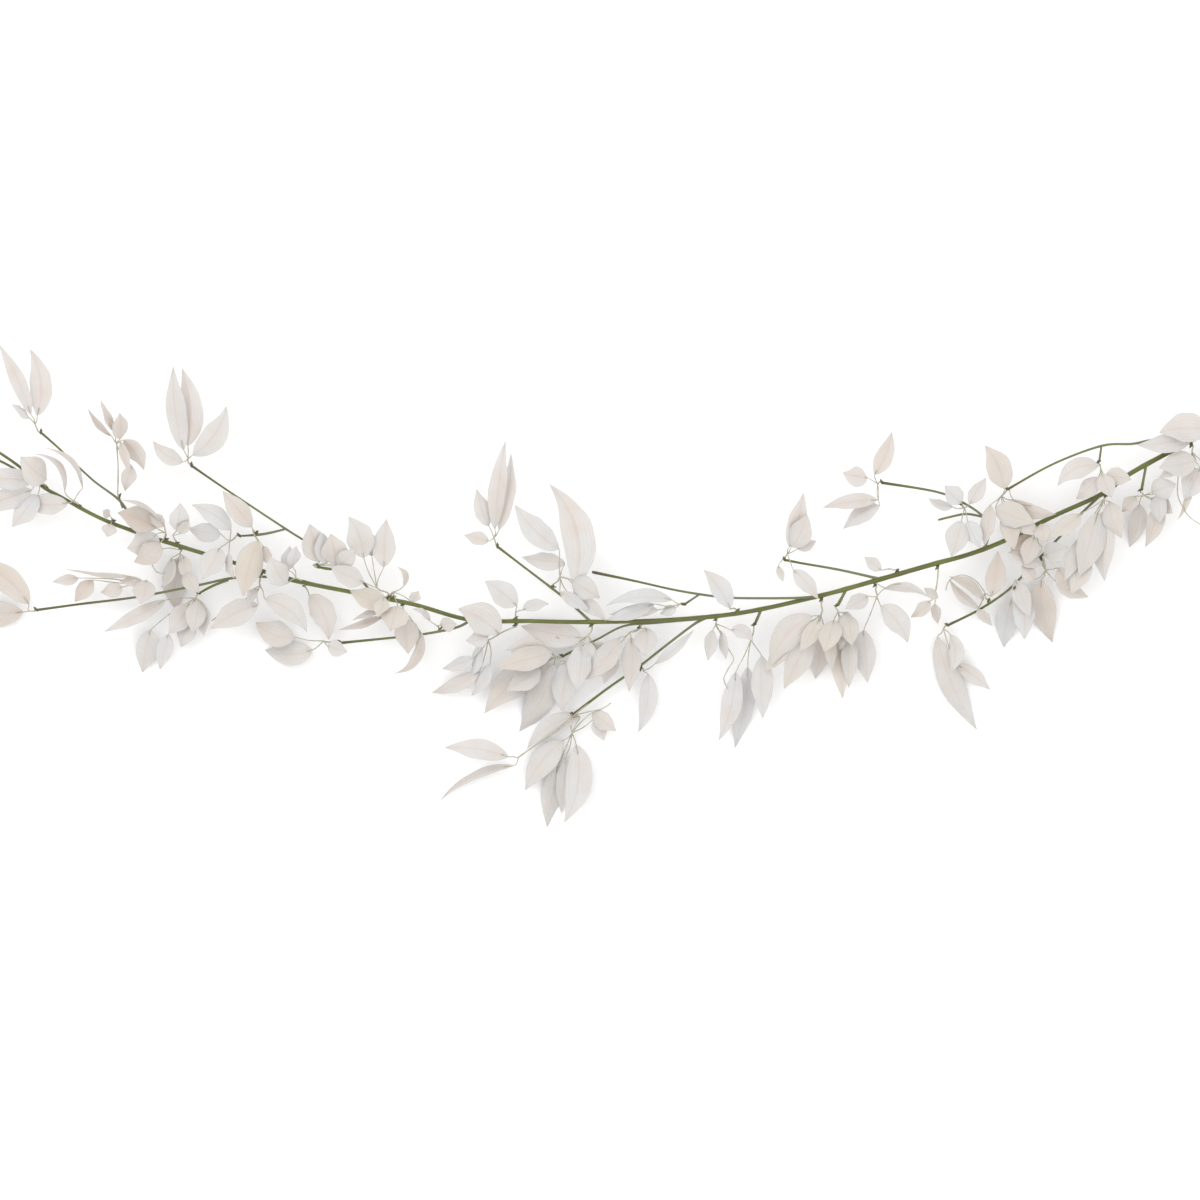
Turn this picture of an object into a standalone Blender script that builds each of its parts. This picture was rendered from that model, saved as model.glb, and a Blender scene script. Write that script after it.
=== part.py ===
"""A dried ruscus stem, laid down on a flat surface.

One green stem with its side shoots, and the pale sprays that grow from them:
each spray is a thin forked stalk with a few papery, long-pointed leaves.
Metres, +Z up. The stem's base is at +X, its tip at -X, and the lowest leaves touch Z = 0.
"""
import math
import random

import bmesh
import bpy
from mathutils import Vector
from mathutils.bvhtree import BVHTree

# Scale of the plan: positions are read on a grid of 1200 units to the metre,
# x to the right and y downwards, as the stem is seen from above.
GRID = 1.0 / 1200.0
PLAN_CENTRE = (582.0, 586.0)
MM = 0.001

# Green stem: length of its stretches in plan units, and its roundness
STEM_STEP = 28.0
SHOOT_STEP = 32.0
SIX_SIDES = 1
FOUR_SIDES = 0

# Stalks of the pale sprays, in millimetres
STALK_RADIUS = 0.75
SEAT_GAP = 0.32
ROOT_RUN = 2.2
STALK_LIFT = 0.06
SHORT_STALK = 9.0
KNOT_RADIUS = 1.05
KNOT_REACH = 0.9
TIP_SHARE = 0.97

# Blades of the leaves, in millimetres and degrees
HUB_WIDTH = 1.0
NECK_WIDTH = 1.5
TIP_WIDTH = 0.7
BLADE_THICKNESS = 1.2
HUB_THICKNESS = 0.8
CUP = (0.05, 0.10)
TWIST = 16.0
ARCH = (-1.0, 4.0)
FULLEST_AT = 0.8
FULLNESS = 0.85

# How much a leaf that rises stands up, and how far its neck already rises
LIFT = 2.2
NECK_RISE = 0.25

# Rows of a blade from its neck to its point, as shares of its length
BLADE_ROWS = (0.0, 0.19, 0.45, 0.76, 1.0)
NARROW_ROWS = (0.0, 0.27, 0.66, 1.0)
NARROW_WIDTH = 15.0

# What a leaf is tried at, in millimetres up or down, until it is clear of the other sprays
BEND_STEPS = (0, 3, -3, 6, -6, 9, -9, 12, -12, 15, -15, 18, -18, 22, -22, 26, -26, 31, -31, 36, 42, 50)
BEND_AT_NECK = 0.35
CLEARANCE = 0.9
MIN_HEIGHT = 0.6
FOOT_DEPTH = 0.35
HIGHEST_BEND = 30.0
FLAT_ANGLE = 1.5

# Colour, roughness of each material
GREEN = ((0.115, 0.150, 0.030, 1.0), 0.55)
PALE = ((0.74, 0.69, 0.65, 1.0), 0.8)

# Points of the main stem and the side shoots: x, y on the plan, height and thickness in mm
MAIN_STEM = (
    (-26, 437, 30, 2.6), (0, 453, 30, 2.9), (20, 467, 29, 3.2), (42, 486, 28, 3.6), (61, 497, 27, 4.0),
    (102, 519, 26, 4.2), (148, 536, 26, 4.4), (202, 553, 27, 4.5), (252, 568, 28, 4.5),
    (302, 582, 27, 4.6), (351, 592, 27, 4.6), (412, 604, 27, 4.6), (471, 620, 26, 4.6),
    (530, 621, 26, 4.6), (588, 622, 26, 4.7), (665, 620, 27, 4.7), (740, 613, 27, 4.8),
    (819, 596, 27, 4.9), (874, 581, 27, 5.2), (930, 565, 27, 5.4), (970, 554, 27, 5.0),
    (1006, 540, 27, 5.0), (1054, 516, 27, 5.0), (1102, 494, 27, 5.0), (1128, 475, 27, 5.2),
    (1162, 456, 27, 5.4), (1200, 436, 27, 5.6), (1232, 420, 27, 5.8),
)
SHOOTS = {
    "second tip": ((46, 488, 28, 3.0), (26, 476, 27, 2.8), (8, 465, 26, 2.6), (-19, 452, 26, 2.5)),
    "upper left": ((134, 530, 26, 2.6), (122, 503, 30, 2.6), (93, 480, 34, 2.3), (60, 449, 38, 2.2),
                   (42, 433, 40, 2.6)),
    "upper left stub": ((123, 508, 29, 2.2), (119, 497, 31, 2.6)),
    "long upper": ((375, 597, 27, 2.6), (362, 581, 31, 2.8), (345, 566, 33, 2.5), (302, 539, 33, 2.3),
                   (286, 529, 33, 2.3), (227, 490, 30, 2.2), (192, 466, 28, 2.6)),
    "long upper fork": ((286, 529, 33, 2.0), (264, 534, 30, 2.8), (240, 536, 27, 1.9)),
    "long upper stub": ((348, 568, 33, 2.0), (330, 569, 32, 3.0), (319, 567, 32, 2.6)),
    "low left": ((302, 583, 27, 3.0), (268, 577, 22, 2.8), (233, 578, 19, 2.7), (194, 586, 16, 2.6),
                 (136, 597, 13, 2.5), (80, 604, 11, 2.5), (36, 610, 10, 2.8)),
    "low left fork": ((228, 580, 19, 2.4), (212, 586, 16, 2.8), (199, 593, 13, 2.2)),
    "lower middle": ((471, 620, 26, 3.0), (455, 628, 22, 2.8), (418, 635, 17, 2.6), (390, 638, 14, 2.5),
                     (340, 643, 11, 3.0)),
    "upper middle": ((590, 621, 26, 3.0), (568, 601, 30, 2.8), (549, 586, 33, 2.6), (524, 567, 36, 2.4),
                     (498, 547, 38, 2.7)),
    "long right": ((819, 596, 27, 3.0), (795, 598, 31, 2.7), (736, 598, 34, 2.5), (712, 596, 34, 2.5),
                   (675, 590, 33, 2.4), (635, 581, 32, 2.4), (592, 572, 31, 3.4)),
    "long right fork": ((700, 594, 34, 2.0), (685, 604, 31, 2.4)),
    "drooping left": ((700, 619, 27, 2.6), (655, 623, 23, 2.4), (624, 626, 19, 2.3), (596, 640, 16, 2.2),
                      (563, 656, 14, 2.6)),
    "drooping right": ((712, 616, 27, 3.0), (696, 623, 23, 2.8), (668, 644, 18, 2.7), (640, 666, 13, 2.6),
                       (607, 689, 10, 2.6), (574, 714, 8, 3.0)),
    "low stub": ((761, 610, 27, 2.8), (755, 624, 22, 3.2)),
    "low right stub": ((846, 590, 27, 2.8), (838, 605, 23, 3.4)),
    "upper right": ((880, 579, 27, 3.0), (840, 570, 34, 2.6), (800, 563, 39, 2.5), (785, 560, 41, 2.8)),
    "high right": ((984, 549, 27, 3.0), (989, 532, 31, 2.7), (983, 517, 35, 2.6), (963, 503, 39, 2.5),
                   (936, 492, 42, 2.5), (882, 483, 44, 3.2)),
    "high right fork": ((983, 517, 35, 2.3), (966, 514, 34, 2.6), (950, 517, 33, 2.2), (938, 520, 32, 2.5)),
    "far right": ((1182, 446, 27, 3.0), (1156, 440, 32, 2.8), (1132, 444, 35, 2.6), (1101, 446, 36, 2.5),
                  (1053, 464, 36, 2.3), (1008, 489, 35, 2.5)),
    "far right fork": ((1101, 446, 36, 2.0), (1099, 461, 33, 2.3)),
    "low right": ((1102, 494, 27, 3.0), (1082, 513, 22, 2.8), (1059, 538, 18, 2.6), (1032, 566, 15, 2.5),
                  (1010, 589, 13, 2.5), (981, 609, 11, 2.5), (949, 625, 10, 2.8)),
    "right stub": ((1146, 466, 27, 2.6), (1142, 489, 21, 3.0)),
}

# Sprays: name, root on the plan, fork of its stalks (x, y, rise above the root in mm), and its leaves.
# A leaf: neck x, y and point x, y on the plan; width in mm, roll in degrees,
# rise of its point above its neck in mm, and sideways bow in mm, to the left of its run.
SPRAYS = (
    ("tip", (-27, 436), (-34, 431, 0), (
        (-38, 428, -78, 400, 17, 10, 4, 2), (-40, 433, -84, 438, 18, -15, -5, -2),
        (-35, 426, -50, 378, 15, 30, 9, 2))),
    ("second_tip", (-20, 451), (-26, 452, -1), (
        (-31, 455, -76, 476, 18, 10, -9, 3), (-29, 458, -50, 500, 16, -20, -14, 2))),
    ("low_left_tip", (35, 610), (28, 611, 0), (
        (28, 604, -28, 560, 20, 12, 7, -5), (22, 612, -48, 611, 21, -8, -7, 2))),
    ("upper_left_tip", (41, 432), (36, 425, 1), (
        (32, 415, 0, 344, 12, 15, 7, -2), (38, 416, 31, 349, 20, -10, 3, -6),
        (30, 418, 13, 404, 13, 62, 2, 0))),
    ("upright", (119, 497), (117, 444, 6), (
        (112, 436, 89, 409, 11, 55, 4, 2), (117, 432, 102, 400, 11, 58, 9, 1),
        (121, 439, 121, 413, 14, 35, 7, 0), (124, 440, 144, 470, 15, 30, -4, 3),
        (132, 466, 125, 491, 12, -15, -8, 0),
        (121, 442, 131, 474, 8, 25, 2, 0))),
    ("west", (45, 488), (40, 482, 5), (
        (34, 481, -22, 479, 17, 8, 3, -1), (32, 490, -24, 508, 17, -12, -3, 1),
        (38, 495, 12, 527, 18, 10, -6, 0), (47, 480, 22, 457, 23, 25, 7, 1))),
    ("west_edge", (77, 508), (74, 501, 4), (
        (65, 492, 33, 454, 13, 55, 6, -11), (68, 503, 22, 500, 16, -5, -7, 2),
        (83, 488, 45, 448, 13, 58, 7, -9))),
    ("west_bud", (112, 523), (112, 519, 3), (
        (111, 524, 107, 537, 12, 10, -5, 0), (110, 516, 103, 511, 8, 20, 3, 0))),
    ("brown_west", (165, 541), (166, 533, 6), (
        (161, 520, 120, 500, 12, 76, 7, -4), (157, 528, 118, 513, 20, 12, 3, -2),
        (157, 534, 127, 548, 22, -8, -2, 3), (160, 543, 134, 562, 18, 14, -8, 2),
        (165, 526, 150, 514, 10, 15, 3, 0))),
    ("north_point", (176, 545), (173, 535, 8), (
        (177, 531, 181, 503, 15, 5, 5, -1), (180, 534, 190, 520, 10, 30, 3, 0))),
    ("hanging_west", (182, 547), (180, 553, -6), (
        (178, 558, 176, 611, 19, 8, -7, -3), (185, 572, 199, 593, 13, 20, -4, -1),
        (171, 558, 160, 588, 12, 40, -3, 3),
        (183, 556, 188, 582, 11, 15, -2, 0))),
    ("long_upper_tip", (190, 465), (188, 459, 1), (
        (184, 450, 174, 366, 16, 12, 7, 2), (188, 446, 182, 368, 19, -12, 3, -5),
        (193, 455, 227, 406, 19, 10, 5, -6), (183, 462, 153, 441, 13, 20, -4, 3))),
    ("fork_leaves", (256, 535), (253, 530, 3), (
        (252, 527, 223, 491, 16, 5, 3, 0), (258, 541, 244, 597, 21, -8, 5, -2),
        (263, 546, 271, 566, 10, 35, 2, 0))),
    ("fork_tip", (239, 536), (230, 541, 0), (
        (231, 530, 192, 505, 15, 10, 5, -3), (221, 534, 188, 528, 15, -10, -2, 1),
        (220, 548, 203, 579, 19, 12, 5, 0), (229, 553, 235, 579, 8, 35, 5, -2))),
    ("low_ring", (262, 572), (260, 586, 3), (
        (258, 605, 210, 629, 20, 10, -8, -2), (265, 599, 307, 632, 18, 12, -4, 6),
        (256, 588, 247, 604, 8, 20, 0, 0))),
    ("low_left_upper", (150, 595), (152, 585, 5), (
        (133, 577, 64, 569, 8, 62, 4, 1), (92, 580, 74, 602, 13, 10, -3, 0),
        (78, 578, 52, 582, 10, 30, 3, 0), (122, 587, 100, 592, 12, -12, -2, 1),
        (146, 580, 141, 604, 18, 10, 3, 0),
        (143, 582, 119, 581, 8, 15, 1, 0))),
    ("low_left_fork_tip", (199, 593), (195, 598, -1), (
        (165, 600, 103, 632, 12, 12, 2, 1), (150, 630, 141, 673, 17, 8, -5, 0),
        (168, 634, 159, 670, 13, -12, -3, 0), (190, 622, 180, 647, 15, 15, -4, 0),
        (198, 601, 192, 633, 16, -10, 3, 0), (189, 603, 168, 634, 18, 10, 1, 1),
        (201, 602, 203, 636, 12, 12, 1, 0))),
    ("beside_ring", (302, 582), (296, 578, 5), (
        (287, 584, 271, 556, 18, 12, 4, 2), (292, 566, 297, 546, 11, 25, 6, 0),
        (288, 570, 290, 546, 12, 12, 2, 0))),
    ("pink_pair", (318, 567), (313, 565, 1), (
        (320, 562, 310, 524, 21, 8, 4, 0), (336, 566, 331, 534, 21, -10, 5, -1),
        (338, 567, 357, 549, 14, 10, 1, 0),
        (326, 564, 321, 532, 14, 10, 2, 0))),
    ("twin_points", (388, 599), (377, 588, 6), (
        (364, 558, 349, 517, 21, 8, 6, -3), (384, 567, 387, 519, 18, -8, 3, 1),
        (364, 582, 331, 566, 16, 8, -3, 1), (372, 556, 369, 530, 14, 20, 0, 0))),
    ("cream_middle", (392, 600), (393, 592, 5), (
        (388, 602, 350, 590, 17, 12, 2, 2), (398, 606, 391, 631, 21, 5, 5, 0),
        (384, 598, 379, 617, 12, 20, 7, 0), (412, 602, 419, 591, 9, 20, 2, 0),
        (404, 586, 398, 567, 7, 50, 4, -4))),
    ("slim_middle", (404, 602), (403, 609, -6), (
        (384, 616, 338, 630, 9, 45, -3, 1), (384, 611, 352, 621, 9, 55, 2, -2),
        (406, 618, 408, 654, 19, 10, -6, 0), (419, 630, 393, 674, 13, 50, -8, 10))),
    ("lower_bud", (440, 631), (437, 626, 4), (
        (440, 625, 457, 624, 12, 20, 3, 0), (430, 621, 412, 609, 7, 45, 3, -3))),
    ("lower_middle_tip", (338, 643), (323, 641, 0), (
        (327, 646, 347, 652, 13, 15, 3, 0), (312, 650, 264, 650, 19, 8, -5, 3),
        (294, 637, 255, 622, 20, -8, 1, 3))),
    ("below_left", (306, 584), (307, 590, -5), (
        (309, 595, 328, 640, 19, 8, -7, 5),)),
    ("upper_middle_tip", (496, 545), (494, 538, 1), (
        (495, 529, 506, 441, 14, 14, 7, 2), (499, 530, 511, 452, 13, -30, 2, -3),
        (489, 526, 477, 489, 13, 20, 5, 1), (489, 541, 464, 535, 11, 15, -3, 0))),
    ("tall_middle", (551, 588), (560, 577, 5), (
        (559, 549, 515, 505, 19, 12, 6, 3), (575, 585, 549, 484, 25, -8, 3, -13),
        (565, 563, 522, 557, 14, 15, -5, 1), (570, 594, 606, 621, 13, 25, -6, 2),
        (572, 580, 600, 598, 18, 12, 1, 0),
        (560, 592, 590, 611, 10, 15, -5, 0))),
    ("centre_point", (515, 621), (516, 612, 5), (
        (517, 606, 485, 581, 19, 10, 6, -1), (523, 610, 549, 604, 10, 15, 4, 2))),
    ("over_stem", (500, 621), (499, 630, 5), (
        (499, 634, 458, 609, 24, 6, 4, -4), (488, 636, 466, 640, 13, 15, 1, 1))),
    ("south_west", (516, 622), (488, 640, -7), (
        (479, 643, 470, 679, 10, 30, -4, 2), (474, 658, 442, 669, 11, 18, -5, 1),
        (479, 672, 431, 693, 12, 12, -6, 2), (490, 664, 471, 696, 12, 25, -7, 2))),
    ("fan", (563, 656), (556, 657, 1), (
        (547, 652, 506, 650, 16, 12, 5, -3), (549, 660, 484, 714, 25, 8, -3, -5),
        (554, 664, 519, 732, 22, -6, -7, 3), (570, 662, 562, 712, 20, 10, -2, -2),
        (540, 668, 506, 690, 18, 10, 3, 1), (552, 653, 497, 668, 19, 10, 7, -1))),
    ("under_stem", (592, 622), (588, 636, -6), (
        (582, 638, 521, 626, 21, 8, -2, 1), (593, 643, 616, 668, 16, 15, -5, 0),
        (581, 645, 577, 691, 19, 10, 2, 0),
        (590, 642, 584, 674, 14, 10, -3, 0))),
    ("hanging_centre", (640, 624), (630, 632, -2), (
        (631, 637, 629, 692, 15, 10, -6, 1), (619, 638, 584, 680, 18, 8, -4, 2),
        (614, 650, 604, 684, 14, -10, -7, 0), (646, 628, 645, 656, 18, 8, 2, 0))),
    ("single", (640, 666), (643, 671, -1), (
        (648, 674, 638, 733, 14, 10, -5, 4),
        (655, 664, 694, 630, 8, 15, 4, -1))),
    ("lowest", (573, 715), (572, 733, 0), (
        (563, 741, 525, 791, 20, 10, -2, -3), (558, 766, 547, 828, 16, -8, -3, -1),
        (576, 745, 564, 823, 21, 8, 2, 7), (566, 757, 561, 814, 13, 20, -5, 0),
        (592, 713, 616, 731, 14, 10, 3, 0), (580, 717, 527, 749, 15, 12, 4, -6),
        (596, 718, 604, 741, 12, 10, 1, 0))),
    ("lowest_left", (584, 707), (518, 758, 1), (
        (508, 757, 444, 748, 16, 12, 2, -3), (514, 766, 439, 802, 9, 45, -2, -7))),
    ("long_right_fork", (685, 605), (680, 604, 0), (
        (672, 600, 606, 606, 13, 35, 3, -6), (658, 610, 609, 615, 10, 10, -2, -1),
        (676, 608, 660, 614, 9, 20, -3, 0),
        (654, 604, 606, 620, 11, 12, -1, 1))),
    ("short_point", (737, 613), (730, 609, 4), (
        (730, 608, 703, 570, 16, 12, 6, -3),)),
    ("slim_below", (716, 616), (716, 624, -6), (
        (713, 630, 708, 661, 12, 30, -5, 0), (722, 632, 726, 659, 9, 35, -8, 0),
        (731, 630, 753, 641, 12, 25, -3, 3))),
    ("long_below", (755, 624), (751, 640, -5), (
        (736, 672, 719, 741, 16, 12, -5, 3), (748, 667, 735, 749, 16, -8, -8, 2),
        (762, 656, 763, 719, 17, 8, -2, 0))),
    ("upper_right_tip", (784, 560), (787, 554, 2), (
        (789, 547, 803, 493, 15, 10, 6, -1), (797, 549, 816, 541, 10, 15, 3, 0),
        (793, 570, 818, 599, 13, 15, -6, 1), (778, 566, 783, 582, 7, 30, -3, 0),
        (791, 547, 806, 514, 18, -10, 3, -2))),
    ("beige_left", (821, 596), (821, 615, 2), (
        (812, 616, 771, 666, 22, 10, 0, -6), (811, 634, 784, 689, 20, -8, -5, 0),
        (822, 636, 816, 679, 16, 8, -8, 0), (829, 632, 832, 671, 10, 12, -5, 0),
        (819, 620, 800, 652, 13, 10, 3, 0), (792, 640, 764, 672, 12, 12, -4, 0))),
    ("beige_right", (838, 605), (838, 612, 0), (
        (841, 622, 843, 699, 18, 10, -5, -1), (834, 620, 824, 652, 18, 12, 4, 0),
        (846, 614, 852, 646, 16, -10, 4, 0), (850, 634, 849, 688, 13, 10, -7, 0),
        (848, 612, 840, 650, 14, 10, 2, 0))),
    ("dangling", (875, 582), (877, 597, -3), (
        (864, 630, 868, 683, 18, 10, -8, -1), (868, 596, 845, 609, 13, 12, 5, 0),
        (881, 606, 908, 643, 18, 8, -5, 4), (884, 589, 930, 598, 11, 50, 3, 5))),
    ("high_right_tip", (881, 483), (877, 484, 1), (
        (874, 475, 891, 432, 14, 10, 5, -2), (867, 478, 842, 473, 16, 12, 3, 1),
        (877, 500, 822, 508, 13, 25, -3, -2), (879, 506, 843, 529, 14, 18, -8, -2))),
    ("small_bud", (897, 574), (888, 569, 4), (
        (881, 570, 864, 557, 10, 12, 3, 0),)),
    ("crossed", (937, 563), (934, 597, -5), (
        (930, 601, 911, 617, 11, 25, -3, 1), (935, 604, 938, 624, 9, 30, -5, 0),
        (938, 598, 924, 588, 8, 20, 2, 0))),
    ("high_right_side", (962, 502), (964, 508, 3), (
        (961, 503, 944, 486, 15, 10, 3, 0), (969, 504, 985, 478, 12, 15, 5, 0),
        (961, 521, 951, 557, 18, 10, -5, 0), (952, 507, 928, 498, 9, 30, -2, 2),
        (967, 521, 980, 548, 14, 10, -3, 0))),
    ("far_right_tip", (1008, 489), (1001, 496, 1), (
        (1004, 489, 984, 446, 20, 8, 5, -3), (990, 505, 984, 546, 12, 15, -3, 0),
        (995, 508, 1034, 523, 20, 8, 2, 0), (1010, 500, 1056, 514, 12, 15, -3, -4),
        (1006, 512, 1014, 550, 15, 10, 0, 0), (1012, 516, 1040, 536, 13, 10, -1, 0))),
    ("low_right_curls", (990, 603), (985, 593, 5), (
        (984, 600, 949, 577, 12, 40, 2, -4), (992, 596, 998, 551, 16, 10, 3, -1),
        (978, 609, 993, 626, 9, 35, -6, 0), (979, 608, 950, 579, 8, 20, -3, 3))),
    ("low_right_tip", (948, 625), (944, 629, 0), (
        (938, 637, 978, 730, 19, 10, -2, -4), (951, 635, 951, 672, 13, 25, 2, 5),
        (958, 665, 991, 690, 12, 15, -3, 1))),
    ("right_low", (1014, 585), (1015, 592, 2), (
        (1012, 600, 1005, 648, 17, 8, -3, -1), (1022, 594, 1025, 640, 17, -8, -5, 1),
        (1016, 580, 1030, 618, 14, 10, 2, 0))),
    ("right_middle", (1040, 557), (1046, 570, 3), (
        (1042, 580, 1054, 643, 20, 8, -4, -3), (1057, 582, 1089, 597, 13, 20, -3, -1),
        (1058, 568, 1074, 592, 15, 15, 2, 0), (1034, 580, 1022, 566, 12, 20, 2, 0),
        (1044, 556, 1067, 547, 17, 10, 5, 0),
        (1042, 564, 1008, 552, 13, 15, 4, 0))),
    ("right_brown", (1036, 525), (1030, 532, 6), (
        (1031, 534, 1011, 553, 21, 10, 2, 1), (1034, 537, 1025, 566, 15, -10, -3, 0),
        (1041, 524, 1044, 543, 13, 12, 3, 0))),
    ("right_column", (1104, 492), (1104, 499, 4), (
        (1106, 510, 1105, 581, 20, 10, -5, -3), (1097, 513, 1078, 577, 22, -8, -2, 2),
        (1110, 502, 1122, 538, 17, 12, -4, -2), (1080, 514, 1047, 537, 14, 20, 5, 1),
        (1087, 556, 1071, 594, 17, 10, -4, 0),
        (1084, 536, 1064, 582, 13, 12, 1, 0))),
    ("right_stub_tip", (1142, 490), (1144, 495, -2), (
        (1160, 502, 1146, 547, 14, 15, -5, 2), (1140, 504, 1131, 547, 14, -10, -7, 2),
        (1152, 492, 1176, 484, 18, 12, 4, 0), (1136, 496, 1122, 512, 11, 15, 3, 0),
        (1152, 498, 1173, 513, 15, 10, 1, 0),
        (1158, 494, 1160, 524, 13, 10, -3, 0))),
    ("far_right_fork_tip", (1099, 462), (1100, 466, 1), (
        (1098, 466, 1057, 486, 16, 10, 3, -6), (1098, 477, 1076, 499, 14, 15, -3, 1),
        (1105, 476, 1131, 480, 14, 10, 2, 1), (1101, 474, 1111, 498, 14, -10, 4, 0))),
    ("base_upper", (1196, 438), (1200, 431, 6), (
        (1192, 438, 1136, 445, 15, 10, 3, 2), (1208, 430, 1158, 433, 23, 8, 5, -3),
        (1212, 424, 1248, 400, 16, 12, 3, 0))),
    ("base_lower", (1190, 442), (1192, 452, 3), (
        (1196, 461, 1158, 468, 20, 10, 5, 0), (1200, 468, 1184, 500, 18, 8, -4, 0),
        (1204, 462, 1242, 484, 18, 10, -4, 0), (1190, 470, 1178, 520, 7, 35, -6, 4),
        (1186, 462, 1158, 478, 10, 15, 2, 0))),
)

# Leaves that reach down to the surface: spray name, index of the leaf
FEET = (
    ("second_tip", 1), ("low_left_tip", 1), ("hanging_west", 0), ("lower_middle_tip", 1),
    ("south_west", 2), ("fan", 2), ("lowest", 1), ("lowest_left", 1), ("long_below", 1),
    ("beige_left", 2), ("low_right_tip", 0), ("right_middle", 0), ("right_stub_tip", 1),
    ("base_lower", 2), ("right_low", 0), ("low_left_fork_tip", 1),
)


def clear_scene():
    for item in list(bpy.data.objects):
        bpy.data.objects.remove(item, do_unlink=True)


def material(name, colour, roughness):
    made = bpy.data.materials.new(name)
    made.use_nodes = True
    shader = made.node_tree.nodes["Principled BSDF"]
    shader.inputs["Base Color"].default_value = colour
    shader.inputs["Roughness"].default_value = roughness
    shader.inputs["Metallic"].default_value = 0.0
    made.diffuse_color = colour
    return made


def place(x, y, height):
    """A point of the plan at a height in millimetres, as a position in metres."""
    return Vector(((x - PLAN_CENTRE[0]) * GRID, (PLAN_CENTRE[1] - y) * GRID, height * MM))


def smooth_run(points, step):
    """Points every step plan units or so along a smooth curve through (x, y, height, thickness)."""
    run = []
    for i in range(len(points) - 1):
        before = Vector(points[max(i - 1, 0)])
        start = Vector(points[i])
        end = Vector(points[i + 1])
        after = Vector(points[min(i + 2, len(points) - 1)])
        pieces = max(1, round((end - start).xy.length / step))
        for k in range(pieces):
            t = k / pieces
            run.append(0.5 * (2 * start + (end - before) * t
                              + (2 * before - 5 * start + 4 * end - after) * t ** 2
                              + (3 * start - before - 3 * end + after) * t ** 3))
    run.append(Vector(points[-1]))
    return [(place(p[0], p[1], p[2]), p[3] * 0.5 * MM) for p in run]


def tube(name, run, level):
    """A closed tube along positions with radii; level 0 has 4 sides, and each level adds 2."""
    curve = bpy.data.curves.new(name, "CURVE")
    curve.dimensions = "3D"
    curve.bevel_depth = 1.0
    curve.bevel_resolution = level
    curve.use_fill_caps = True
    spline = curve.splines.new("POLY")
    spline.points.add(len(run) - 1)
    for point, (position, radius) in zip(spline.points, run):
        point.co = (*position, 1.0)
        point.radius = radius
    made = bpy.data.objects.new(name, curve)
    bpy.context.scene.collection.objects.link(made)
    drawn = bpy.data.meshes.new_from_object(made.evaluated_get(bpy.context.evaluated_depsgraph_get()))
    bpy.data.objects.remove(made, do_unlink=True)
    bpy.data.curves.remove(curve)
    mesh = bmesh.new()
    mesh.from_mesh(drawn)
    bmesh.ops.remove_doubles(mesh, verts=mesh.verts, dist=1e-6)
    bmesh.ops.recalc_face_normals(mesh, faces=mesh.faces)
    return to_mesh(mesh, name)


def blade_width(share):
    """Width of a blade at a share of its length: widest before the middle, drawn out to the point."""
    return max(0.0, math.sin(math.pi * share ** FULLEST_AT)) ** FULLNESS


def blade_rows(leaf):
    return NARROW_ROWS if leaf[4] <= NARROW_WIDTH else BLADE_ROWS


def blade_line(leaf, hub, shift, arch):
    """Centre line of a leaf's blade from its neck to its point."""
    neck_x, neck_y, tip_x, tip_y, _, _, rise, bow = leaf
    rise = max(rise, rise * LIFT)
    neck = place(neck_x, neck_y, 0.0)
    tip = place(tip_x, tip_y, 0.0)
    neck.z = hub.z + (shift * BEND_AT_NECK + rise * NECK_RISE) * MM
    tip.z = neck.z + (rise + shift) * MM
    run = tip - neck
    left = Vector((-run.y, run.x, 0.0)).normalized()
    line = []
    for share in blade_rows(leaf):
        hump = 4.0 * share * (1.0 - share)
        line.append(neck + run * share + left * (bow * MM * hump) + Vector((0, 0, arch * MM * hump)))
    return line


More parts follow.
